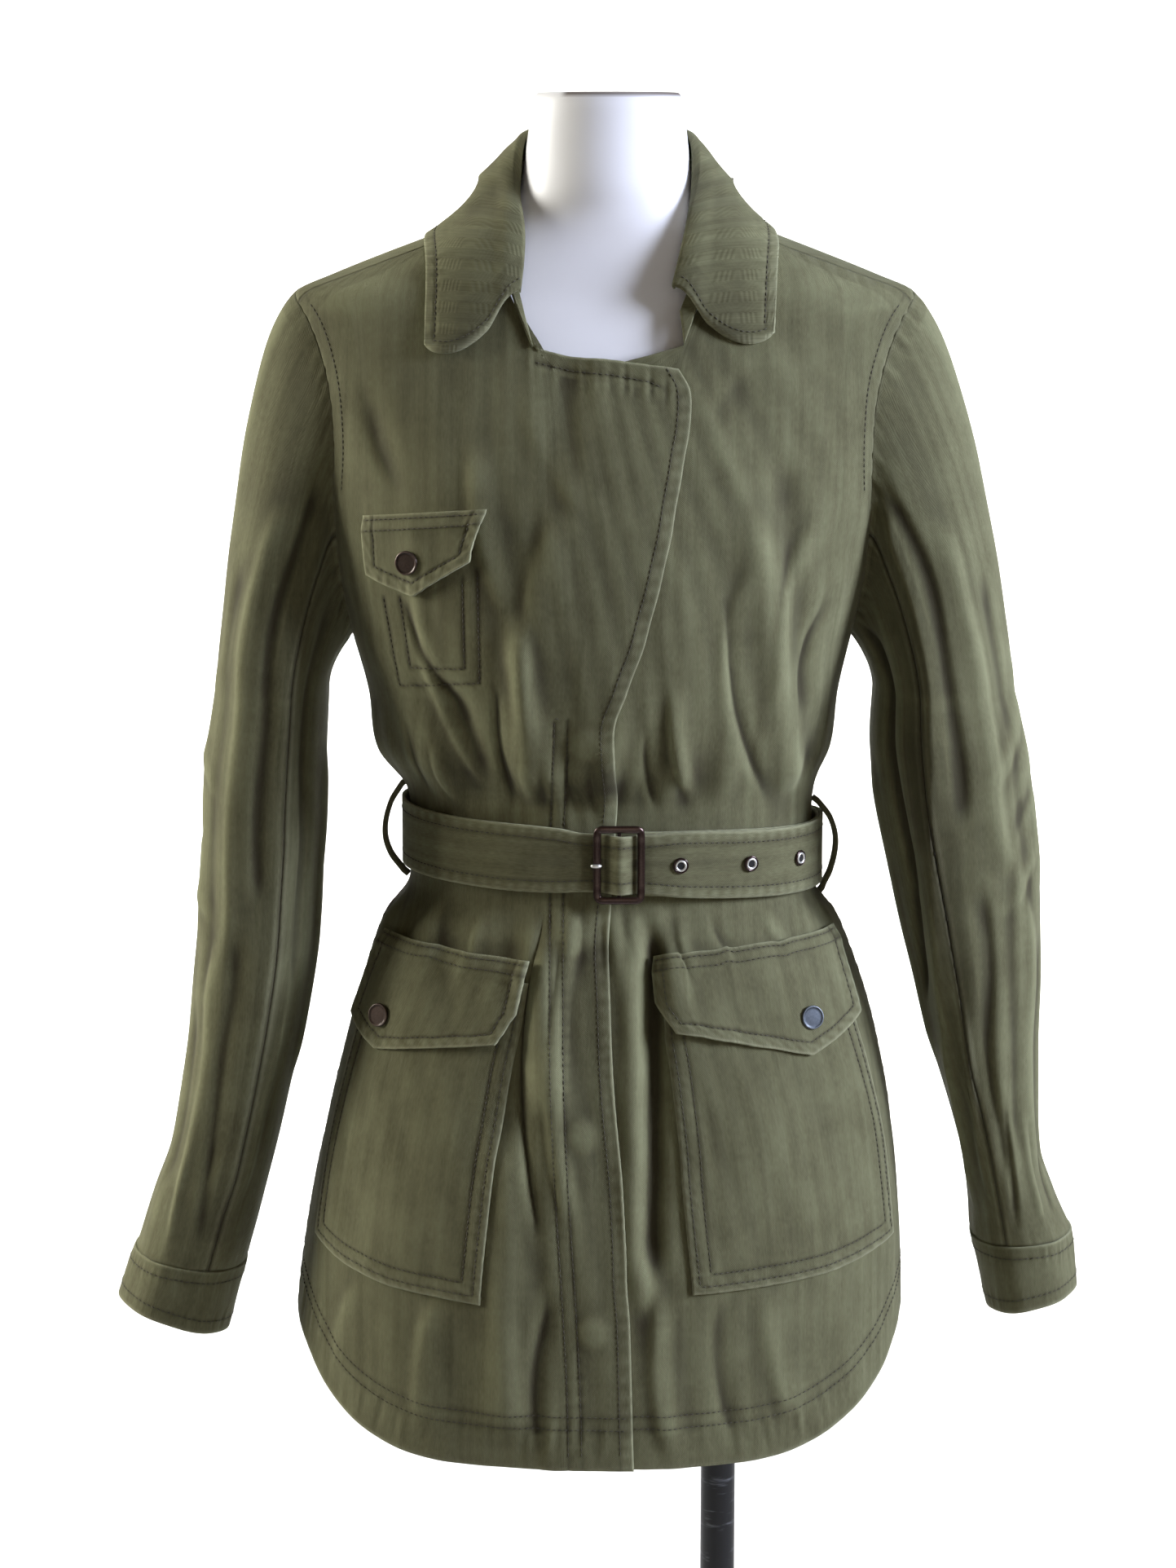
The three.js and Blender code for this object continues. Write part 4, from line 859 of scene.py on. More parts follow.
SLEEVE_FOLDS = {
    # from turn and height, to turn and height, half width, height (turn 0 outside, 90 front)
    "left": [
        (88, 1130, 92, 880, 7, -2.4), (64, 1110, 68, 850, 10, 2.4), (40, 1080, 46, 820, 9, -1.8),
        (20, 1020, 24, 840, 7, 1.5), (76, 850, 82, 700, 9, -2), (54, 840, 60, 690, 9, 2),
        (30, 800, 36, 690, 8, -1.6), (132, 1060, 134, 820, 8, -2), (128, 800, 124, 690, 7, 1.6),
        (8, 968, 38, 944, 6, 1.3), (2, 926, 28, 908, 5, -1.1), (12, 880, 44, 860, 7, 1.2),
        (60, 712, 66, 656, 5, 1.4), (86, 716, 92, 656, 5, -1.4),
        (-60, 1080, -70, 880, 9, 2.6), (-90, 1060, -95, 860, 9, -2.6), (-40, 950, -80, 930, 6, 1.5),
        (-36, 900, -84, 878, 7, -1.4), (-50, 820, -60, 700, 8, 2.4), (200, 1050, 205, 860, 9, -3),
        (170, 960, 168, 760, 8, 2.2), (225, 900, 220, 700, 9, 2.4)],
    "right": [
        (90, 1130, 91, 930, 6, -2.2), (68, 1100, 64, 900, 9, 2.2), (44, 1070, 40, 860, 8, -1.8),
        (22, 1030, 20, 880, 7, 1.4), (62, 890, 72, 720, 9, -2), (40, 870, 48, 700, 9, 2),
        (84, 880, 98, 700, 7, -2.2), (22, 840, 28, 700, 8, -1.6), (110, 800, 126, 690, 6, 2),
        (22, 992, 64, 950, 8, 1.5), (16, 950, 52, 920, 7, -1.3), (28, 902, 66, 872, 8, 1.3),
        (58, 730, 66, 668, 5, 1.8), (84, 740, 96, 668, 5, -1.8), (32, 720, 40, 668, 5, -1.5),
        (-60, 1070, -66, 860, 9, 2.6), (-92, 1050, -90, 850, 9, -2.6), (-40, 940, -84, 918, 6, 1.5),
        (-34, 890, -80, 866, 7, -1.4), (-52, 810, -60, 700, 8, 2.4), (200, 1040, 206, 850, 9, -3),
        (172, 950, 168, 770, 8, 2.2), (226, 890, 220, 710, 9, 2.4)],
}
SLEEVE_CREASES = {
    # the same, for sharp folds: a crest between two flat sides
    "left": [(106, 1120, 111, 930, 10, 3.6), (111, 930, 103, 770, 10, 3.4), (103, 770, 110, 680, 9, 2.8)],
    "right": [(100, 1150, 106, 960, 12, 5.2), (106, 960, 134, 790, 11, 5.2), (134, 790, 160, 680, 9, 4),
              (152, 1050, 140, 885, 6, -8), (140, 885, 152, 815, 5, -6)],
}


ARM_POWER = 2 / 2.2
MM_PER_DEGREE = 0.9


def arm_ring(rows):
    """Rounded oblong at a height: x = middle + half cos^p, y = -depth sin^p."""
    def place(turn, z):
        inner, outer, depth, rise = (curve(rows[:, 0], rows[:, i], z) for i in range(1, 5))
        c, s = np.cos(np.radians(turn)), np.sin(np.radians(turn))
        outwards = np.sign(c) * np.abs(c) ** ARM_POWER
        x = (inner + outer) / 2 + (outer - inner) / 2 * outwards
        y = -depth * np.sign(s) * np.abs(s) ** ARM_POWER
        return np.stack([x, y, z + rise / 2 * outwards], -1)
    return place


def armhole_ring(side, turn, out=WALL / 2):
    """The sleeve's first ring: the armhole's edge on the torso."""
    c, s = np.cos(np.radians(turn)), np.sin(np.radians(turn))
    z = (ARMPIT + SHOULDER) / 2 + (SHOULDER - ARMPIT) / 2 * c
    front = curve(ARMHOLE[:, 0], ARMHOLE[:, 1], z)
    back = curve(ARMHOLE[:, 0], ARMHOLE[:, 2], z)
    angle = side * np.where(s >= 0, 90 - front, 90 + back)
    return torso(angle, z, out + 0 * z)


def sleeve_surface(side, rows):
    """From the armhole out and down to the arm's ring by a cubic with set end directions,
    then down the arm from ring to ring."""
    around = arm_ring(rows)
    start, end = rows[-1, 0], rows[0, 0]

    def place(turn, v):
        low = around(turn, mix(start, end, np.clip((v - CAP_SHARE) / (1 - CAP_SHARE), 0, 1)))
        hole, ring = armhole_ring(side, turn), around(turn, start + 0 * v)
        length = np.linalg.norm(ring - hole, axis=-1, keepdims=True)
        leave = np.array([side * 0.78, 0, -0.62]) * length * 0.45
        arrive = np.array([side * 0.08, 0, -1]) * length
        t = np.clip(v / CAP_SHARE, 0, 1)[..., None]
        cap = ((2 * t**3 - 3 * t * t + 1) * hole + (t**3 - 2 * t * t + t) * leave
               + (3 * t * t - 2 * t**3) * ring + (t**3 - t * t) * arrive)
        return np.where((v < CAP_SHARE)[..., None], cap, low)
    return place


def arm_fold_height(turn, z, hand):
    """Ridges along lines of turn and height: bell curves across the soft folds, and an
    exponential crest across the sharp ones. A degree of turn is about 0.9 mm of cloth."""
    height = 0.5 * np.sin(z * 0.021 + 0.03 * turn) * np.sin(turn * 0.061 + z * 0.006)
    height += 0.3 * np.sin(z * 0.063 + 0.09 * turn) * np.sin(turn * 0.11 - z * 0.03)
    lines = [(False, line) for line in SLEEVE_FOLDS[hand]]
    lines += [(True, line) for line in SLEEVE_CREASES[hand]]
    for sharp, (turn0, z0, turn1, z1, width, rise) in lines:
        dx, dz = (turn1 - turn0) * MM_PER_DEGREE, z1 - z0
        length = math.hypot(dx, dz)
        px = ((turn - turn0 + 180) % 360 - 180) * MM_PER_DEGREE
        along = (px * dx + (z - z0) * dz) / length
        across = (px * dz - (z - z0) * dx) / length
        ends = ease(-14, 18, along) * ease(-14, 18, length - along)
        if sharp:
            across = np.sqrt(across ** 2 + 1.2) - 1.1
            height += rise * ends * np.exp(-across / width)
        else:
            across = across + 1.6 * np.sin(along / 19 + turn0)
            across = np.where(across > 0, across * 1.6, across)
            height += rise * ends * bell(across, width)
    return height


def sleeve_piece(name, side, hand, first, last, columns):
    """One sleeve panel; rows run up from the cuff, columns to the viewer's right at the front."""
    if side > 0:
        first, last = last, first
    u, v = np.meshgrid(np.linspace(0, 1, columns), np.linspace(1, 0, 260))
    surface = sleeve_surface(side, SLEEVE_ROWS[hand])
    turn = mix(first, last, u)
    base = surface(turn, v)
    low, top = from_edge(base, "bottom"), from_edge(base, "top")
    near, far = from_edge(base, "start"), from_edge(base, "end")
    height = arm_fold_height(turn, base[..., 2], hand) * ease(2, 30, top)
    height += 0.9 * pucker(top - 2, near, 9, 12, 0.7 + side) + 0.5 * pucker(low, near, 7, 10, 0.3)
    height += 0.35 * pucker(near, low, 6, 10, 1.1) + 0.35 * pucker(far, low, 6, 11, 2.1)
    points = base + grid_normal(base) * (WALL / 2 + height * ease(-1, 6, low))[..., None]
    seam = np.minimum(near, far)
    wear = 0.35 * bell(seam - 2.6, 1.2) + 0.3 * bell(top, 2.2)
    # Painted shade along both seams and round the top at the armhole.
    painted_shade = 0.75 * bell(seam, 1.3) + 0.5 * bell(top, 1.6)
    made = cloth_piece(name, points, wear, painted_shade, rim=True)


HANDS = {"left": -1, "right": 1}
SLEEVE_GAP = 0.25
for hand, side in HANDS.items():
    sleeve_piece(f"sleeve_upper_{hand}", side, hand,
                 UNDER_BACK - 360 + SLEEVE_GAP, UNDER_FRONT - SLEEVE_GAP, 130)
    sleeve_piece(f"sleeve_under_{hand}", side, hand,
                 UNDER_FRONT + SLEEVE_GAP, UNDER_BACK - SLEEVE_GAP, 72)


# Cuffs: plain bands of doubled twill, stitched round the top and the mouth.
CUFF_ROWS = {
    "left": np.array([(599, -240, -308, 41, 22), (637, -228.5, -297.5, 42.5, 11)], float),
    "right": np.array([(610, 245, 300, 41, 14), (652, 234.5, 296.5, 42.5, 5)], float),
}


CUFF_MOUTH_LINE, CUFF_TOP_LINE = 8.5, 8


def closed_ring(points):
    """A grid with its first column repeated at its end."""
    return np.concatenate([points, points[:, :1]], 1)


def cuff(hand, side):
    """A ring of the arm carried up from the mouth, a little flattened and gathered."""
    u, v = np.meshgrid(np.arange(220) / 220, np.linspace(0, 1, 34))
    rows = CUFF_ROWS[hand]
    turn = 200 - side * 360 * u
    base = arm_ring(rows)(turn, mix(rows[0, 0], rows[1, 0] - SEAM, v))
    low, top = from_edge(base, "bottom"), from_edge(base, "top")
    along = 360 * u * MM_PER_DEGREE
    height = 0.55 * pucker(low - 8, along, 6, 9.5, 0.3) + 0.5 * pucker(top - 8, along, 6, 10, 1.2)
    height += 0.8 * np.sin(np.radians(turn) * 3 + 1) * ease(0, 20, top)
    height += 0.4 * np.sin(np.radians(turn) * 7)
    points = base + grid_normal(base, True) * (DOUBLE / 2 + height)[..., None]
    wear = 0.8 * bell(low, 1.6) + 0.6 * bell(top, 1.2)
    # Painted shade along both lines of stitching.
    painted_shade = 0.4 * (bell(low - CUFF_MOUTH_LINE, 1.2) + bell(top - CUFF_TOP_LINE, 1.2))
    made = cloth_piece(f"cuff_{hand}", points, wear, painted_shade, DOUBLE, closed=True)
    return points


cuff_grids = {hand: cuff(hand, side) for hand, side in HANDS.items()}


# Collar: a stand sewn to the neckline and a doubled leaf that rolls over it and falls on the
# shoulders, its points lying on the fronts and its free edge stitched all round.
ROLL_LEFT = [(-49, 1237), (-50, 1262), (-52, 1284), (-51, 1300)]
ROLL_RIGHT = [(52, 1300), (53, 1284), (50, 1262), (43, 1239)]
LEAF_LEFT = [(-106, 1213), (-107, 1240), (-104, 1262)]
LEAF_RIGHT = [(102, 1266), (102, 1246), (99, 1220)]
STAND_OUT, STAND_TOP, STAND_SHARE = 3.4, 2.0, 0.74
LEAF_START, ROLL_OUT, LEAF_OUT, ROLL_SHARE = 7, 8, 4, 1 / 3


def collar_torso(angle, z, out):
    """The plain torso moved out along a softened normal, so that the collar bends smoothly."""
    return plain_torso(angle, z) + normal_of(plain_torso, angle, z, 5.0, 7.0) * out[..., None]


def smoothed(points, reach=15, rounds=3):
    """Means along the rows, the ends continued by point reflection so that they stay put."""
    kernel = np.full(reach, 1 / reach)
    half = reach // 2
    for _ in range(rounds):
        before = 2 * points[:, :1] - points[:, half:0:-1]
        after = 2 * points[:, -1:] - points[:, -2:-2 - half:-1]
        longer = np.concatenate([before, points, after], 1)
        points = np.apply_along_axis(np.convolve, 1, longer, kernel, "valid")
    return points


COLLAR_LINE = 7


def collar():
    """The stand is mixed from the neckline towards the roll line. The leaf's place turns through
    half a circle over the roll, then falls straight to its edge. A bridge from roll to edge lifts
    it where it would sink into the shoulders: out by the soft positive part of the distance."""
    base = route([
        from_x(NECK_LEFT[:0:-1]) + [(-NECK_SIDE, 1289), (-90, 1297), (-135, 1296), (-180, 1295),
                                    (-225, 1296), (-270, 1297), (NECK_SIDE - 360, 1289)]
        + turned(from_x(NECK_RIGHT[-2::-1]), -360)])
    roll = route([
        from_x(ROLL_LEFT) + [(-82, 1320), (-110, 1330), (-145, 1333), (-180, 1334), (-215, 1333),
                             (-250, 1330), (-278, 1320)] + turned(from_x(ROLL_RIGHT), -360)])
    edge = route([
        from_x(LEAF_LEFT) + [(-88, 1276), (-115, 1280), (-145, 1273), (-180, 1268), (-215, 1273),
                             (-245, 1280), (-272, 1278)] + turned(from_x(LEAF_RIGHT), -360)])

    u, v = np.meshgrid(np.linspace(0, 1, 240), np.linspace(0, 1, 20))
    place = mix(base(u), roll(u), (v * STAND_SHARE)[..., None])
    out = mix(STAND_OUT, STAND_TOP, v) + 0.3 * np.sin(u * 47)
    stand = smoothed(collar_torso(place[..., 0], place[..., 1], out + DOUBLE / 2), 11)[:, ::-1]
    side, low = from_edge(stand, "start"), from_edge(stand, "bottom")
    wear = bell(side, 2) + bell(from_edge(stand, "end"), 2) + 0.3 * bell(low, 1.5)
    made = cloth_piece("collar_stand", stand, wear, thickness=DOUBLE)

    u, v = np.meshgrid(np.linspace(0, 1, 300), np.linspace(0, 1, 90))
    bend = np.minimum(v / ROLL_SHARE, 1) * np.pi
    fall = np.maximum(v - ROLL_SHARE, 0) / (1 - ROLL_SHARE)
    from_base, from_roll = base(u), roll(u)
    width = np.linalg.norm(plain_torso(from_base[..., 0], from_base[..., 1])
                           - plain_torso(from_roll[..., 0], from_roll[..., 1]), axis=-1)
    above = mix(from_base, from_roll, (1 + (LEAF_START + 2 * np.sin(bend)) / width)[..., None])
    rolled = mix(STAND_TOP, ROLL_OUT, (1 - np.cos(bend)) / 2)
    rounded = np.sin(np.pi * u) + 1e-9
    belly = mix(4, 11, rounded ** 0.7) * np.sin(np.pi * fall)
    place = mix(above, edge(u), fall[..., None])
    base_out = mix(rolled, LEAF_OUT, fall) + belly
    leaf = smoothed(collar_torso(place[..., 0], place[..., 1], base_out))
    roll_row = int(np.searchsorted(v[:, 0], ROLL_SHARE))
    bridge = mix(leaf[roll_row], leaf[-1], fall[..., None])
    way = grid_normal(leaf)
    reach = np.sum((bridge - leaf) * way, -1) + 4 * np.sin(np.pi * fall)
    lift = 0.45 * (reach + np.sqrt(reach ** 2 + 4)) * np.sin(np.pi * fall) ** 0.4
    leaf = leaf + way * lift[..., None]
    leaf = smoothed(smoothed(leaf, 13, 2).swapaxes(0, 1), 7, 2).swapaxes(0, 1)
    droop = np.sin(np.pi * fall) ** 0.75 * ease(0, 0.3, fall)
    leaf[..., 2] -= 19 * (1 - rounded ** 0.35) * droop
    free, left, right = from_edge(leaf, "top"), from_edge(leaf, "start"), from_edge(leaf, "end")
    rolling = 60 * (fall < 0.1)
    near_edge = np.minimum(np.minimum(free, left + rolling), right + rolling)
    waves = 1.1 * np.sin(u * 23 + 1) * np.sin(np.pi * fall) + 0.5 * np.sin(u * 61 + 3 * v) * fall
    waves += 0.45 * pucker(free - COLLAR_LINE, 600 * u, 6, 10.5, 0.4)
    waves -= 0.5 * bell(near_edge - COLLAR_LINE, 1.4)
    rise = DOUBLE / 2 * ease(0, 0.2, fall) + waves * ease(0, 0.2, fall)
    points = (leaf + grid_normal(leaf) * rise[..., None])[:, ::-1]
    near_edge = near_edge[:, ::-1]
    along = from_edge(points, "start")
    beat = beats(along * 0.62, 2 * np.sin(along * 0.09))
    wear = 0.9 * bell(near_edge, 1.4) + 0.3 * beat * bell(near_edge - 4, 3.5)
    # Painted shade along the line of stitching.
    painted_shade = 0.5 * bell(near_edge - COLLAR_LINE, 1.2)
    points = points[::-1]
    made = cloth_piece("collar_leaf", points, wear[::-1], painted_shade[::-1], DOUBLE, lengthwise=True)
    return points


collar_leaf_points = collar()


# Pockets and flaps: patch pockets on the skirt of each front under pointed flaps, and one
# flap on the chest. Each is stitched down and holds a little fullness of its own.
LAYER_GAP = 1.05
PATCHES = {
    "pocket_right": dict(
        on="front_right", level=1, thickness=WALL,
        bottom=[(-178, 661), (-157, 650), (-130, 643), (-74, 638)], top=[(-138, 838), (-46, 833)],
        start=[(-178, 661), (-164, 740), (-138, 838)],
        end=[(-74, 638), (-64, 728), (-54, 790), (-46, 833)]),
    "flap_right": dict(
        on="front_right", level=2, thickness=DOUBLE,
        bottom=[(-150, 799), (-136, 784), (-64, 796)], top=[(-130, 853), (-92, 850), (-45, 846)],
        start=[(-150, 799), (-130, 853)], end=[(-64, 796), (-52, 814), (-45, 846)]),
    "pocket_left": dict(
        on="front_left", level=1, thickness=WALL,
        bottom=[(53, 645), (98, 647), (139, 651), (178, 661)], top=[(36, 834), (138, 838)],
        start=[(53, 645), (46, 715), (38, 800), (36, 834)],
        end=[(178, 661), (168, 740), (138, 838)]),
    "flap_left": dict(
        on="front_left", level=2, thickness=DOUBLE,
        bottom=[(44, 804), (123, 785), (152, 803)], top=[(34, 850), (88, 853), (138, 855)],
        start=[(44, 804), (36, 822), (34, 850)], end=[(152, 803), (138, 855)]),
    "flap_chest": dict(
        on="front_right", level=1, thickness=DOUBLE,
        bottom=[(-139, 1078), (-111, 1067), (-78, 1089)], top=[(-142, 1113), (-69, 1119)],
        start=[(-139, 1078), (-142, 1113)], end=[(-78, 1089), (-69, 1119)]),
}


def layer_out(piece, angle, z):
    """How far out the inner face of a patch lies from the torso."""
    below = WALL + LAYER_GAP if piece["level"] > 1 else 0
    under = lap_out(angle, z) if piece["on"] == "front_right" else WALL
    return under + below + LAYER_GAP


# Lines of stitches in from the free edges, and a flap's lines down from its top.
PATCH_LINES = {"flap": (8,), "pocket": (5, 12.5)}
FLAP_TOP_LINES = (3, 9.5)


def patch_piece(name, piece, columns, rows):
    """Lies its layers' thickness out from the torso, pressed in along its stitches. A flap also
    lifts towards its free edges; a pocket swells in its middle and waves a little."""
    def line(places):
        return route([from_x([a, b]) for a, b in zip(places[:-1], places[1:])])

    place = patch(*(line(piece[key]) for key in ("bottom", "top", "start", "end")))
    u, v = np.meshgrid(np.linspace(0, 1, columns), np.linspace(0, 1, rows))
    where = place(u, v)
    angle, z = where[..., 0], where[..., 1]
    out = layer_out(piece, angle, z) + piece["thickness"]
    base = torso(angle, z, out)
    low, high = from_edge(base, "bottom"), from_edge(base, "top")
    near, far = from_edge(base, "start"), from_edge(base, "end")
    free = np.minimum(low, np.minimum(near, far))
    kind = name.split("_")[0]
    if kind == "flap":
        lift = 1.4 * np.exp(-free / 9) * ease(0, 14, high) * (0.6 + 0.4 * np.sin(u * 9 + v * 4))
        lift += 0.5 * np.sin(u * 14 + 2 * v) * ease(0, 20, high) + 0.8 * bell(high - 9, 4)
        lift -= 0.8 * bell(high, 3)
    else:
        lift = 1.6 * np.sin(np.pi * u) * np.sin(np.pi * v) - 0.9 * bell(free, 2.2)
        lift += 0.7 * np.sin(u * 11 + 3 * v) * np.sin(v * 7 + 1) * ease(8, 30, free)
    for distance in PATCH_LINES[kind]:
        lift -= 0.45 * bell(free - distance, 1.3)
    lift += 0.28 * pucker(low - 5, near, 7, 9.5, 0.4) + 0.28 * pucker(near - 5, low, 7, 10, 1.4)
    lift += 0.28 * pucker(far - 5, low, 7, 9, 2.4)
    points = torso(angle, z, out + lift)
    beat = beats((near + low) * 0.66, 2 * np.sin(near * 0.07) + np.sin(low * 0.11))
    wear = 0.9 * bell(free, 1.3) + 0.3 * beat * bell(free - 4, 3.5) + 0.7 * bell(high, 1.2)
    # Painted shade along the lines of stitching, and on a flap also along its top's two lines.
    painted_shade = sum(0.5 * bell(free - distance, 1.2) for distance in PATCH_LINES[kind])
    if kind == "flap":
        painted_shade = painted_shade + sum(0.5 * bell(high - distance, 1.1) for distance in FLAP_TOP_LINES)
        made = cloth_piece(name, points, wear, painted_shade, piece["thickness"])
    else:
        made = cloth_piece(name, points, wear, painted_shade, rim=True)
    return points


patch_grids = {}
for name, piece in PATCHES.items():
    size = (130, 160) if name.startswith("pocket") else (120, 72)
    patch_grids[name] = patch_piece(name, piece, *size)


# Belt: one long strap of doubled twill, stitched 7 mm inside both edges. It starts at the
# buckle, goes once round the waist and back through the buckle, over its own start.
BELT = np.array([
    # angle, how far out from the torso, width
    (6, 5.9, 39), (24, 4.8, 40), (90, 5, 41), (270, 5, 41), (318, 4.6, 41), (336, 6, 41), (348, 7.6, 39),
    (353, 8.4, 36), (358, 8.5, 35.5), (361.6, 14.8, 35.5), (365.6, 8.7, 35.5), (370, 8.7, 37),
    (376, 8.5, 40), (386, 7.4, 41), (450, 7.5, 41), (474, 7.5, 36)], float)
BELT_THICK, BELT_LINE = 2, 7
BELT_START, BELT_TIP, BELT_END = 6, 468, 474


def belt_rise(angle):
    """The belt lies a little lower on the viewer's right."""
    return -5.4 * np.sin(np.radians(angle))


def belt_normal(angle):
    """Outward and level at the waist."""
    return unit(normal_of(plain_torso, angle, BELT_Z + 0 * angle, 1.0, 1.0) * (1, 1, 0))


def belt_point(angle, rise, out):
    """Waist ring at one height, moved out level, then raised with the belt's tilt."""
    angle = np.asarray(angle, float)
    point = plain_torso(angle, BELT_Z + 0 * angle) + belt_normal(angle) * np.asarray(out)[..., None]
    point[..., 2] = BELT_Z + belt_rise(angle) + rise
    return point


def belt():
    """A strap along the waist's ring, its reach and width read from the table by angle, its end
    rounded off by a cube law. It is stiff in the buckle and waves a little elsewhere."""
    stops = np.concatenate([np.linspace(BELT_START, 346, 330), np.linspace(346, 380, 90)[1:],
                            np.linspace(380, BELT_END, 120)[1:]])
    angle, v = np.meshgrid(stops, np.linspace(0, 1, 22))
    width = curve(BELT[:, 0], BELT[:, 2], angle)
    end = np.clip((angle - BELT_TIP) / (BELT_END - BELT_TIP), 0, 1)
    width = width * (1 - 0.25 * end ** 3)
    rise = (v - 0.5) * width
    base = belt_point(angle, rise, curve(BELT[:, 0], BELT[:, 1], angle) + BELT_THICK / 2)
    low, high = from_edge(base, "bottom"), from_edge(base, "top")
    along = from_edge(base, "start")
    calm = ease(7, 16, np.abs(angle - 361.5)) * ease(0, 12, angle - BELT_START)
    height = 0.22 * pucker(low - 4, along, 5, 8.5, 0.4)
    height = height + 0.22 * pucker(high - 4, along, 5, 9.2, 1.9)
    height += 0.35 * np.sin(along * 0.055 + 1) * np.sin(np.pi * v) * calm
    height -= 0.35 * bell(low - BELT_LINE, 1.2) + 0.35 * bell(high - BELT_LINE, 1.2)
    points = base + grid_normal(base) * (height * (0.35 + 0.65 * calm))[..., None]
    points[..., 2] += 0.6 * np.sin(along * 0.03) * calm
    beat = beats(along * 0.72, 2 * np.sin(along * 0.05))
    edge = np.minimum(low, high)
    wear = 1.2 * bell(edge, 1.2) + 0.3 * beat * bell(edge - 3.5, 3)
    # Painted shade along both lines of stitching.
    painted_shade = 0.5 * bell(edge - BELT_LINE, 1.2)
    made = cloth_piece("belt", points, wear, painted_shade, BELT_THICK, lengthwise=True)
    return points


belt_points = belt()


# Buckle: a rounded oblong frame of dark brown lacquered metal with a plain bar across its
# middle and a short bright prong, which comes up through the belt.
def tube(path, radius_across, radius_out, across, out, sides=14, closed=True):
    """An oval bar carried along a path: centre + across cos + out sin at every station."""
    t = np.linspace(0, 2 * np.pi, sides, endpoint=False)
    ring = (across[:, None] * (np.asarray(radius_across)[..., None] * np.cos(t))[..., None]
            + out[:, None] * (np.asarray(radius_out)[..., None] * np.sin(t))[..., None])
    points = path[:, None] + ring
    rows, count = points.shape[:2]
    faces = sheet_faces(rows, count, True)
    if closed:
        first, after = np.arange(count), (np.arange(count) + 1) % count
        last = (rows - 1) * count
        faces = np.concatenate([faces, np.stack([last + first, last + after, after, first], -1)])
    return points.reshape(-1, 3), faces


def mesh_piece(name, points, faces, material, outward=True):
    """A piece from points and faces on the one rigid body, in place of the solid of its name;
    its faces are turned outwards where they aren't made so."""
    made = grid_object(f"{name}_dressed", points, faces)
    if outward:
        work = bmesh.new()
        work.from_mesh(made.data)
        bmesh.ops.remove_doubles(work, verts=work.verts, dist=1e-7)
        bmesh.ops.recalc_face_normals(work, faces=work.faces)
        work.to_mesh(made.data)
        work.free()
    made.data.materials.append(material)
    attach(made, "root")
    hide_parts(name)
    return made


def clamped(tree, operation, first, second, third=0.0):
    """A sum or product held between 0 and 1."""
    return node(tree, "ShaderNodeMath", {"operation": operation, "use_clamp": True}, {
        0: first, 1: second, 2: third}).outputs[0]


def lacquered_metal(name, base, pale_colour, roughness):
    """Dark lacquer over metal: colour mottled by fine noise and made paler by a value on each vertex:
    rubbed wear on the snap caps' rims, a painted highlight on the buckle frame's front face.
    """
    material, tree, shader = new_material(name)
    place = node(tree, "ShaderNodeTexCoord").outputs["Object"]
    grain = noise(tree, place, 900.0, 3.0, 0.6)
    amount = clamped(tree, "MULTIPLY_ADD", grain, 0.35, -0.12)
    total = clamped(tree, "ADD", amount, attribute(tree, "paleness"))
    colour = blend(tree, total, linear(base), linear(pale_colour))
    tree.links.new(colour, shader.inputs["Base Color"])
    bumped(tree, shader, grain, 0.0001, 0.25)
    shader.inputs["Metallic"].default_value = 0.85
    shader.inputs["Roughness"].default_value = roughness
    shader.inputs["Coat Weight"].default_value = 0.4
    shader.inputs["Coat Roughness"].default_value = 0.12
    return material


# The pale colour here is the buckle frame's painted highlight.
brown_lacquer = lacquered_metal("dark brown lacquered zinc alloy", "#2b1a17", "#6d5a52", 0.28)
bright_steel = lacquered_metal("nickel-plated brass", "#dcdad2", "#f6f4ee", 0.38)
bright_steel.node_tree.nodes["Principled BSDF"].inputs["Coat Weight"].default_value = 0
BUCKLE_X, BUCKLE_WIDTH, BUCKLE_HEIGHT, BUCKLE_OUT = 8.5, 31, 48, 10.2
FRAME_HALF, FRAME_DEEP, BAR_RADIUS, PRONG_RADIUS = 2.3, 1.35, 1.2, 1.2
CORNER_POWER = 2 / 13
buckle_angle = angle_of(BUCKLE_X, BELT_Z)
buckle_middle = belt_point(np.array(buckle_angle), 0, np.array(BUCKLE_OUT))


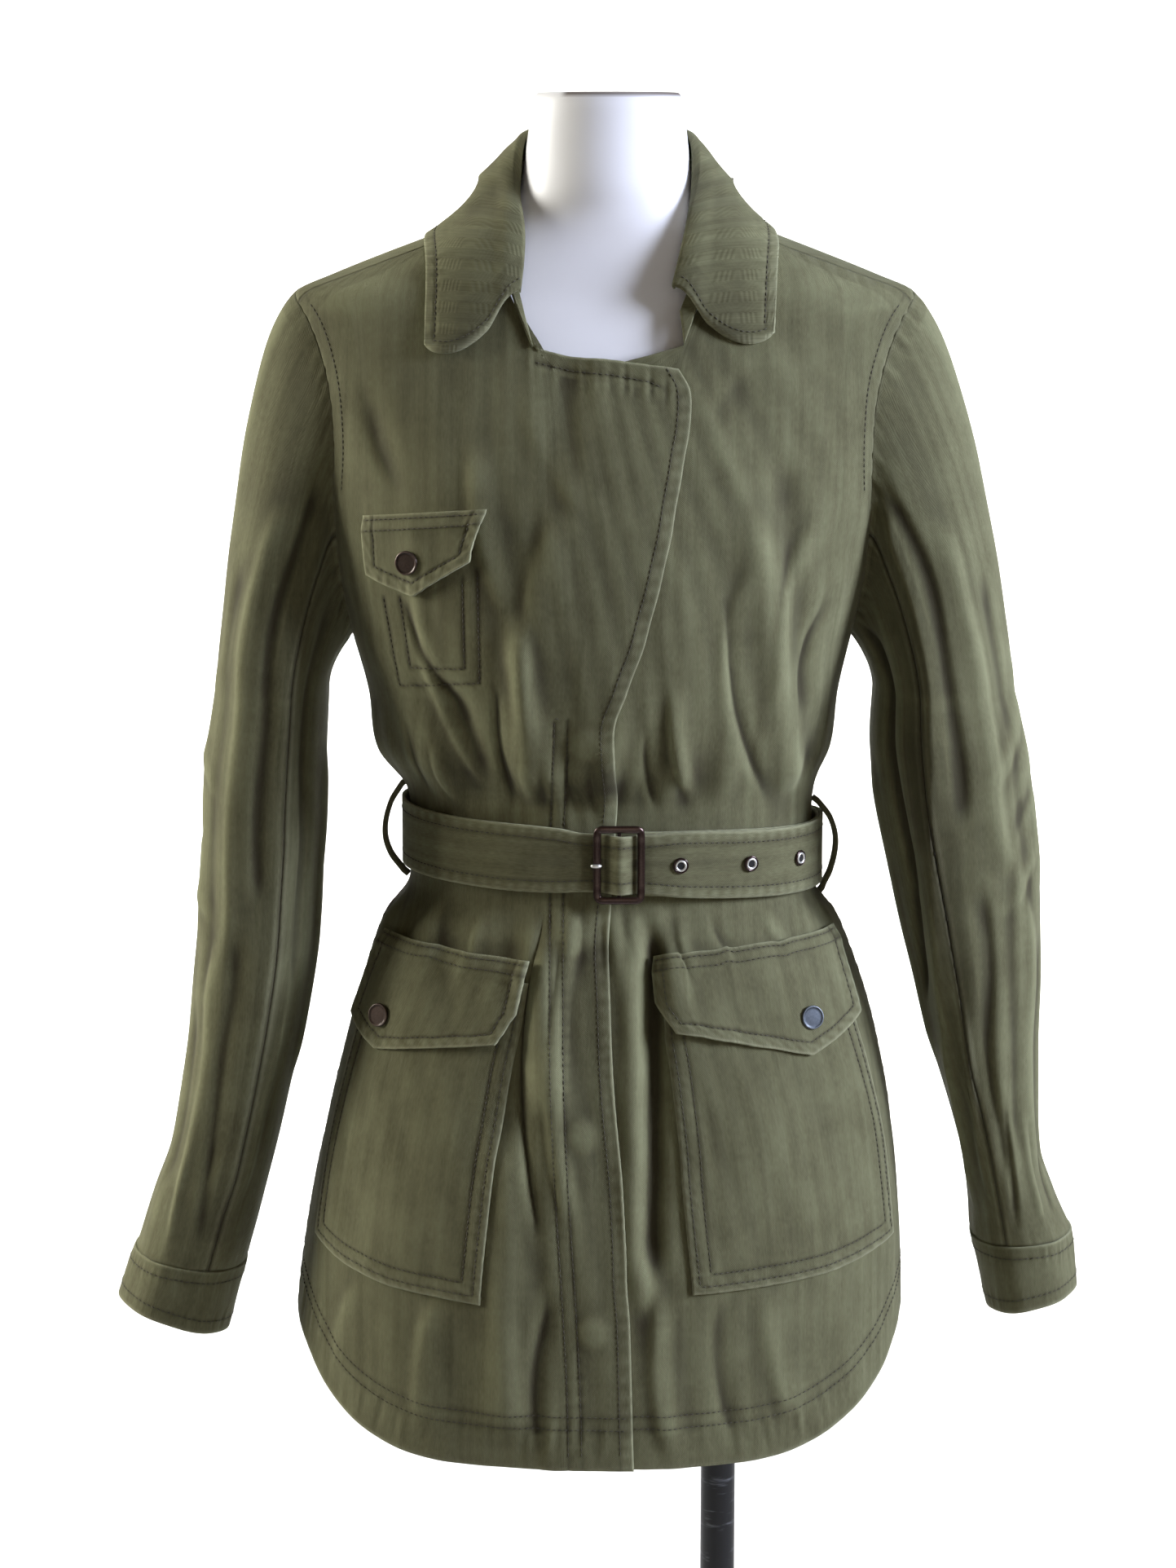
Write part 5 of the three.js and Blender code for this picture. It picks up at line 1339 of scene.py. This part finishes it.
def buckle():
    """The frame runs along a squarish oblong, x = half cos^p and z = half sin^p, bowed out at
    its top and bottom; the bar is upright; the prong swells in its middle."""
    t = np.linspace(0, 2 * np.pi, 240, endpoint=False)
    c, s = np.cos(t), np.sin(t)
    half_w, half_h = BUCKLE_WIDTH / 2 - FRAME_HALF, BUCKLE_HEIGHT / 2 - FRAME_HALF
    x = half_w * np.sign(c) * np.abs(c) ** CORNER_POWER
    z = half_h * np.sign(s) * np.abs(s) ** CORNER_POWER
    bow = 0.9 * np.abs(s) ** 4
    path = np.stack([x, 0 * t - 1.3 - bow, z], -1) + buckle_middle
    along = np.roll(path, -1, 0) - np.roll(path, 1, 0)
    along /= np.linalg.norm(along, axis=1, keepdims=True)
    out = np.tile([0.0, -1, 0], (240, 1))
    across = np.cross(out, along)
    points, faces = tube(path, FRAME_HALF + 0 * t, FRAME_DEEP + 0 * t, across, out, 16)
    made = mesh_piece("buckle", points, faces, brown_lacquer)
    place = np.array([v.co for v in made.data.vertices]) * 1000 - buckle_middle
    # Painted highlight: the frame's face towards the viewer is paler, in streaks up and down it.
    paleness = 0.35 * ease(1.9, 2.6, -place[:, 1]) * (0.6 + 0.4 * np.sin(place[:, 2] * 0.9))
    give(made, "paleness", paleness)

    z = np.linspace(-BUCKLE_HEIGHT / 2 + 4, BUCKLE_HEIGHT / 2 - 4, 12)
    path = np.stack([0 * z, 0 * z - 1.2, z], -1) + buckle_middle
    side, front = np.tile([1.0, 0, 0], (12, 1)), np.tile([0.0, -1, 0], (12, 1))
    points, faces = tube(path, BAR_RADIUS + 0 * z, BAR_RADIUS + 0 * z, side, front, closed=False)
    mesh_piece("buckle_bar", points, faces, brown_lacquer)

    t = np.linspace(0, 1, 22)
    path = np.stack([mix(-17.2, -10.4, t), -4.6 - 0.9 * np.sin(np.pi * t), 0 * t], -1)
    path = path + buckle_middle
    radius = PRONG_RADIUS * np.sqrt(np.clip(1 - (2 * t - 1) ** 4, 0.0004, 1))
    up, front = np.tile([0.0, 0, 1], (22, 1)), np.tile([0.0, -1, 0], (22, 1))
    points, faces = tube(path, radius, radius, up, front, closed=False)
    mesh_piece("buckle_prong", points, faces, bright_steel)


buckle()


# Eyelets: three two-part metal rings pressed through the belt, bright in front with a dark
# oxidised outer edge, and a black disc of painted shade in the hole.
def set_on(points, centre, normal):
    """Turns points made about the Z axis so that Z points along the normal at the centre."""
    normal = unit(normal)
    side = unit(np.cross([0, 0, 1.0], normal))
    up = np.cross(normal, side)
    return centre + points[:, :1] * side + points[:, 1:2] * up + points[:, 2:] * normal


def turned_ring(profile, sides=48):
    """A profile of radius and height swept round the Z axis."""
    profile = np.array(profile, float)
    t = np.linspace(0, 2 * np.pi, sides, endpoint=False)
    points = np.stack([profile[:, :1] * np.cos(t), profile[:, :1] * np.sin(t),
                       np.repeat(profile[:, 1:], sides, 1)], -1)
    return points.reshape(-1, 3), sheet_faces(len(profile), sides, True)


def rounded_profile(radius_in, radius_out, height, steps=14):
    """Half circle in section: from the hole over the top and down to the cloth."""
    t = np.linspace(0, np.pi, steps)
    middle, half = (radius_in + radius_out) / 2, (radius_out - radius_in) / 2
    return [(middle - half * math.cos(a), height * math.sin(a) - 0.4) for a in t]


# Painted shade: the hole is a plain near-black disc standing in for the shade in it, and nothing of the
# hole's inside is seen.
hole_shade, _, hole_shade_shader = new_material("painted shade in an eyelet hole")
hole_shade_shader.inputs["Base Color"].default_value = linear("#0c0b0a")
hole_shade_shader.inputs["Roughness"].default_value = 0.9
EYELETS = {"eyelet_1": 16.7, "eyelet_2": 38.5, "eyelet_3": 60}  # degrees round the waist


def eyelet(name, degrees):
    """A dark ring, a bright one inside it and a black disc of painted shade, set level on the belt's
    overlap.
    """
    angle = np.array(float(degrees))
    reach = curve(BELT[:, 0], BELT[:, 1], angle + 360) + BELT_THICK + SEAM
    normal = belt_normal(angle)
    centre = belt_point(angle, 0, reach)
    dark, dark_faces = turned_ring(rounded_profile(3.4, 4.9, 0.75))
    bright, bright_faces = turned_ring(rounded_profile(2.1, 3.7, 1.1))
    hole, hole_faces = turned_ring([(2.4, 0.05), (1.2, 0.05), (0.001, 0.05)])
    parts = [(dark, dark_faces), (bright, bright_faces), (hole, hole_faces)]
    points = np.concatenate([p for p, _ in parts])
    starts = np.cumsum([0] + [len(p) for p, _ in parts[:-1]])
    faces = np.concatenate([f + s for (_, f), s in zip(parts, starts)])
    made = mesh_piece(name, set_on(points, centre, normal), faces, brown_lacquer,
                      outward=False)
    made.data.materials.append(bright_steel)
    made.data.materials.append(hole_shade)
    kinds = np.concatenate([np.full(len(f), i, np.int32) for i, (_, f) in enumerate(parts)])
    made.data.polygons.foreach_set("material_index", kinds)


for name, degrees in EYELETS.items():
    eyelet(name, degrees)


# Snap caps: domed press studs of dark burnished metal on the points of the three flaps.
brown_cap = lacquered_metal("burnished brass snap cap", "#2c211b", "#6b5a50", 0.5)
blue_cap = lacquered_metal("gunmetal snap cap", "#3c4147", "#868d94", 0.5)
SNAPS = {
    # x, z, the flap it sits on, its metal
    "snap_chest": (-114, 1087, "flap_chest", brown_cap),
    "snap_right": (-132, 804, "flap_right", brown_cap),
    "snap_left": (122, 807, "flap_left", blue_cap),
}
CAP_PROFILE = [(6.2, -1.2), (6.9, -0.2), (7.25, 0.6), (7.3, 1.2), (7.1, 1.75), (6.7, 2.05), (6.3, 2.0),
               (6.0, 1.7), (5.6, 1.6), (4.5, 1.66), (2.5, 1.72), (0.001, 1.74)]
CAP_OUT, CAP_LEAN = 1.1, (0, -0.4, 0)
for name, (x, z, flap, metal) in SNAPS.items():
    angle, height = angle_at(np.array(float(x)), np.array(float(z))), np.array(float(z))
    out = layer_out(PATCHES[flap], angle, height) + DOUBLE + CAP_OUT
    centre = torso(angle, height, out)
    normal = normal_of(draped, angle, height, 1.5, 2.0) + CAP_LEAN
    points, faces = turned_ring(CAP_PROFILE)
    made = mesh_piece(name, set_on(points, centre, normal), faces, metal, outward=False)
    rim = np.linalg.norm(points[:, :2], axis=1)
    give(made, "paleness", 0.55 * bell(rim - 6.75, 0.35) + 0.12 * (rim < 5.5))


# Belt loops: narrow doubled strips of twill, sewn over the side seams above and below the
# belt and standing off in a long curve.
LOOP = np.array([
    # height from the belt's middle, how far out it stands
    (-30, 2.6), (-27, 6.5), (-16, 14.5), (0, 17.5), (16, 14.5), (27, 6.5), (30, 2.6)], float)
LOOP_WIDTH, LOOP_THICK = 0.010, 3


def belt_loop(hand, side):
    """A strip up the side seam whose way out follows the table, crowded towards its ends."""
    u, v = np.meshgrid(np.linspace(-0.5, 0.5, 12), np.linspace(0, 1, 90))
    rise = mix(LOOP[0, 0], LOOP[-1, 0], (1 - np.cos(np.pi * v)) / 2)
    angle = side * 90 + u * 4.4
    z = BELT_Z + belt_rise(angle) + rise
    out = curve(LOOP[:, 0], LOOP[:, 1], rise)
    base = plain_torso(angle, z) + np.array([side, 0, 0]) * out[..., None]
    points = base + grid_normal(base) * (0.8 - 0.25 * np.cos(2 * np.pi * u))[..., None]
    wear = 0.35 * (bell(from_edge(points, "start"), 1) + bell(from_edge(points, "end"), 1))
    # Painted shade: the whole loop is darkened by half the shade's amount.
    made = cloth_piece(f"belt_loop_{hand}", points, wear, 0.5, thickness=LOOP_THICK)


for hand, side in HANDS.items():
    belt_loop(hand, side)


# Dress form: a smooth white moulded torso without arms, cut level across the neck, with a
# slight satin sheen and a thin dark joint line under its neck cap.
FORM_INSET = np.array([
    # height, how far inside the jacket's torso
    (640, 12), (740, 11), (860, 10), (884, 3), (928, 3), (965, 11), (1100, 11), (1170, 9), (1200, 7),
    (1262, 6.5), (1290, 3.5), (1306, 0.6), (1361, 0.4)], float)


def form_skin():
    """White gel coat: faint cloudy greying over fine dust, with a brown line at the neck's rim."""
    material, tree, shader = new_material("satin white fibreglass")
    place = node(tree, "ShaderNodeTexCoord").outputs["Object"]
    marks = noise(tree, place, 9.0, 4.0, 0.55)
    amount = clamped(tree, "MULTIPLY_ADD", marks, 1.6, -0.55)
    colour = blend(tree, amount, linear("#e2e2e4"), linear("#f0f1f3"))
    colour = blend(tree, attribute(tree, "rim"), colour, linear("#6d6560"))
    tree.links.new(colour, shader.inputs["Base Color"])
    bumped(tree, shader, noise(tree, place, 420.0, 2.0), 0.0001, 0.15)
    shader.inputs["Roughness"].default_value = 0.42
    shader.inputs["Specular IOR Level"].default_value = 0.4
    return material


def dress_form():
    """The torso's rings moved in by the table and by a rounding at both ends; the last ring at
    each end shrinks to its middle and closes it."""
    heights = np.concatenate([[640, 640, 641.5, 645], np.linspace(650, 1354, 170),
                              [1357.5, 1359.8, 1361, 1361, 1361]])
    pull = np.concatenate([[400, 2.4, 0.7, 0], np.zeros(170), [0.4, 1.1, 2.3, 14, 400]])
    angle, z = np.meshgrid(np.arange(160) * 360 / 160, heights)
    inset = curve(FORM_INSET[:, 0], FORM_INSET[:, 1], z) + pull[:, None]
    flat = plain_torso(angle, z)
    out = unit(normal_of(plain_torso, angle, np.clip(z, 645, 1355), 1.0, 1.0) * (1, 1, 0))
    middle = flat.mean(axis=1, keepdims=True)
    points = flat - out * inset[..., None]
    points = np.where((inset > 300)[..., None], mix(flat, middle, 0.999), points)
    points[..., 2] = heights[:, None]
    made = mesh_piece("dress_form", points, sheet_faces(len(heights), 160, True), form_skin(),
                      outward=False)
    give(made, "rim", ease(1357, 1360, points[..., 2]) * ease(-27, -22, points[..., 0]))


dress_form()


# Stand: a black powder-coated steel tube in two turned sockets on a round plate; the tube is
# scuffed pale in rings where the height clamp has slid on it.
def powder_coat(name, scuffs):
    """Fine grained black paint with paler rings: noise squeezed flat along Z, more or less of it."""
    material, tree, shader = new_material(name)
    place = node(tree, "ShaderNodeTexCoord").outputs["Object"]
    rings = noise(tree, stretched(tree, place, (35, 35, 210)), 1.0, 3.0, 0.7)
    amount = clamped(tree, "MULTIPLY_ADD", rings, 5.0 * scuffs, -2.75 * scuffs)
    colour = blend(tree, amount, linear("#141415"), linear("#5c5e62"))
    tree.links.new(colour, shader.inputs["Base Color"])
    bumped(tree, shader, noise(tree, place, 700.0, 3.0, 0.6), 0.00015, 0.4)
    shader.inputs["Roughness"].default_value = 0.42
    shader.inputs["Metallic"].default_value = 0.2
    return material


scuffed_black = powder_coat("scuffed black powder-coated steel", 1)
plain_black = powder_coat("black powder-coated steel", 0.35)
POLE_X, POLE_RADIUS = 74, 11
heights = np.concatenate([[12.3, 12.3], np.linspace(12.8, 639.2, 40), [639.7, 639.7]])
radii = np.concatenate([[0.001, 10.5], np.full(40, POLE_RADIUS), [10.5, 0.001]])
points, faces = turned_ring(np.stack([radii, heights], -1))
mesh_piece("pole", points + (POLE_X, 0, 0), faces, scuffed_black, outward=False)
SOCKET_PROFILE = [(11.3, 0), (21.4, 0), (22, 0.6), (22, 19.6), (21.3, 21.2), (19.6, 22), (11.9, 22),
                  (11.3, 21.4), (11.3, 0)]
for name, at in (("pole_socket", 12.3), ("form_socket", 617.7)):
    points, faces = turned_ring([(radius, at + height) for radius, height in SOCKET_PROFILE])
    mesh_piece(name, points + (POLE_X, 0, 0), faces, plain_black)
PLATE_PROFILE = [(0.001, 0), (167.6, 0), (169.3, 0.8), (170, 2.4), (170, 7.6), (169.5, 9.4), (168.2, 11),
                 (166, 12), (0.001, 12)]
points, faces = turned_ring(PLATE_PROFILE, 160)
mesh_piece("base_plate", points, faces, plain_black, outward=False)


# Topstitching: a dark olive polyester thread in stitches about 2.6 mm long. Each one is a thin
# round thread that rises out of the cloth and goes back in, slightly sunk between its holes.
def thread_material():
    """Two browns mixed by a fine noise, as the light catches the thread's ply."""
    material, tree, shader = new_material("dark olive polyester thread")
    place = node(tree, "ShaderNodeTexCoord").outputs["Object"]
    ply = noise(tree, place, 1500.0, 1.0)
    tree.links.new(blend(tree, ply, linear("#1f1b0e"), linear("#3f3a24")), shader.inputs["Base Color"])
    shader.inputs["Roughness"].default_value = 0.6
    return material


thread = thread_material()


def beside(points, edge, distance, low=0.0, high=1e4, end_trim=0.0):
    """The line at a distance from one edge of a grid, measured along its rows or columns,
    kept between two heights and clear of its own ends."""
    normal = grid_normal(points)
    if edge in ("bottom", "top"):
        points, normal = points.swapaxes(0, 1), normal.swapaxes(0, 1)
    if edge in ("end", "top"):
        points, normal = points[:, ::-1], normal[:, ::-1]
    length = lengths(points, 1)
    i = np.clip((length < distance).sum(1) - 1, 0, points.shape[1] - 2)
    row = np.arange(len(points))
    step = np.maximum(length[row, i + 1] - length[row, i], 1e-6)
    t = ((distance - length[row, i]) / step)[:, None]
    line = mix(points[row, i], points[row, i + 1], t)
    way = mix(normal[row, i], normal[row, i + 1], t)
    keep = (line[:, 2] > low) & (line[:, 2] < high)
    line, way = line[keep], way[keep]
    along = lengths(line)
    keep = (along >= end_trim) & (along <= along[-1] - end_trim)
    return line[keep], way[keep]


def on_grid(points, places):
    """A line through x and z places, laid on the front of a grid by its nearest points."""
    places = np.array(places, float)
    length = lengths(places)
    t = np.arange(0, length[-1], 2.0)
    x, z = np.interp(t, length, places[:, 0]), np.interp(t, length, places[:, 1])
    flat, normal = points.reshape(-1, 3), grid_normal(points).reshape(-1, 3)
    gap = (flat[None, :, 0] - x[:, None]) ** 2 + (flat[None, :, 2] - z[:, None]) ** 2
    gap = np.where(flat[None, :, 1] < 0, gap, 1e9)
    near = np.argsort(gap, axis=1)[:, :4]
    weight = 1 / (np.take_along_axis(gap, near, 1) + 0.05)
    weight /= weight.sum(1, keepdims=True)
    way = (normal[near] * weight[..., None]).sum(1)
    way /= np.linalg.norm(way, axis=1, keepdims=True)
    middle = (flat[near] * weight[..., None]).sum(1)
    return np.stack([x, middle[:, 1], z], -1), way


def sew(name, lines):
    """Stitches along lines of points and outward directions, joined into one mesh: tubes with
    narrow ends, raised by half a sine along their length and sunk by a third of their radius."""
    pitch, length, radius = 3.5, 2.7, 0.34
    rings, sides = 6, 5
    t = np.linspace(0, 1, rings)
    turn = np.arange(sides) * 2 * np.pi / sides
    swell = np.array([0.2, 0.85, 1, 1, 0.85, 0.2])
    parts = []
    for path, way in lines:
        if len(path) < 3:
            continue
        along = lengths(path)
        count = int((along[-1] - length) / pitch) + 1
        place = (np.arange(count) * pitch)[:, None] + t * length
        centre = np.stack([np.interp(place, along, path[:, k]) for k in range(3)], -1)
        normal = np.stack([np.interp(place, along, way[:, k]) for k in range(3)], -1)
        normal /= np.linalg.norm(normal, axis=-1, keepdims=True)
        side = unit(np.cross(centre[:, -1:] - centre[:, :1], normal))
        lift = radius * (np.sin(np.pi * t) - 0.35)
        centre = centre + normal * lift[:, None]
        reach = radius * swell[:, None]
        parts.append(centre[:, :, None] + side[:, :, None] * (reach * np.cos(turn))[..., None]
                     + normal[:, :, None] * (reach * np.sin(turn))[..., None])
    points = np.concatenate(parts)
    quads = sheet_faces(rings, sides, True)
    faces = (quads[None] + (np.arange(len(points)) * rings * sides)[:, None, None]).reshape(-1, 4)
    made = grid_object(f"stitches_{name}", points, faces)
    made.data.materials.append(thread)
    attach(made, "root")


def hem_lines(points):
    """The two lines round a hem."""
    return [beside(points, "bottom", line, end_trim=3) for line in HEM_LINES]


def sew_panels():
    """Hems, the free edge, the shoulders, the placket's lines with the bar across their top, the
    chest pocket's bag, and the neckline's band."""
    right, left, back = front_right_points, front_left_points, back_points
    shoulder = {"low": SHOULDER_LINE_Z, "high": 1238}
    lines = [beside(right, "end", EDGE_LINE, low=PLACKET_LOW)] + hem_lines(right)
    lines.append(beside(right, "start", SEAM_LINE, **shoulder))
    z = np.linspace(PLACKET_LOW, PLACKET_TOP, 60)
    x, across = placket_x(z), PLACKET_LINES[1]
    lines += [on_grid(right, np.stack([x, z], -1)), on_grid(right, np.stack([x + across, z], -1)[:-1]),
              on_grid(right, [(x[-1], PLACKET_TOP), (x[-1] + across, PLACKET_TOP)])]
    lines += [on_grid(right, places) for places in BAG_LINES + [BAND_LINE]]
    sew("front_right", lines)
    sew("front_left", hem_lines(left) + [beside(left, "end", SEAM_LINE, **shoulder)])
    sew("back", hem_lines(back) + [beside(back, edge, SEAM_LINE, low=1100, high=1240)
                                   for edge in ("start", "end")])


def sew_small():
    """Three sides of each pocket and flap, a flap's top, the belt, cuffs and collar leaf."""
    for name, points in patch_grids.items():
        kind = name.split("_")[0]
        lines = [beside(points, edge, distance, end_trim=distance)
                 for distance in PATCH_LINES[kind] for edge in ("bottom", "start", "end")]
        if kind == "flap":
            lines += [beside(points, "top", distance, end_trim=2) for distance in FLAP_TOP_LINES]
        sew(name, lines)
    sew("belt", [beside(belt_points, edge, BELT_LINE, end_trim=3) for edge in ("bottom", "top")])
    for hand, points in cuff_grids.items():
        ring = closed_ring(points)
        sew(f"cuff_{hand}", [beside(ring, "bottom", CUFF_MOUTH_LINE), beside(ring, "top", CUFF_TOP_LINE)])
    sew("collar_leaf", [beside(collar_leaf_points, edge, COLLAR_LINE, high=high, end_trim=COLLAR_LINE)
                        for edge, high in (("bottom", 1e4), ("start", 1262), ("end", 1262))])


sew_panels()
sew_small()
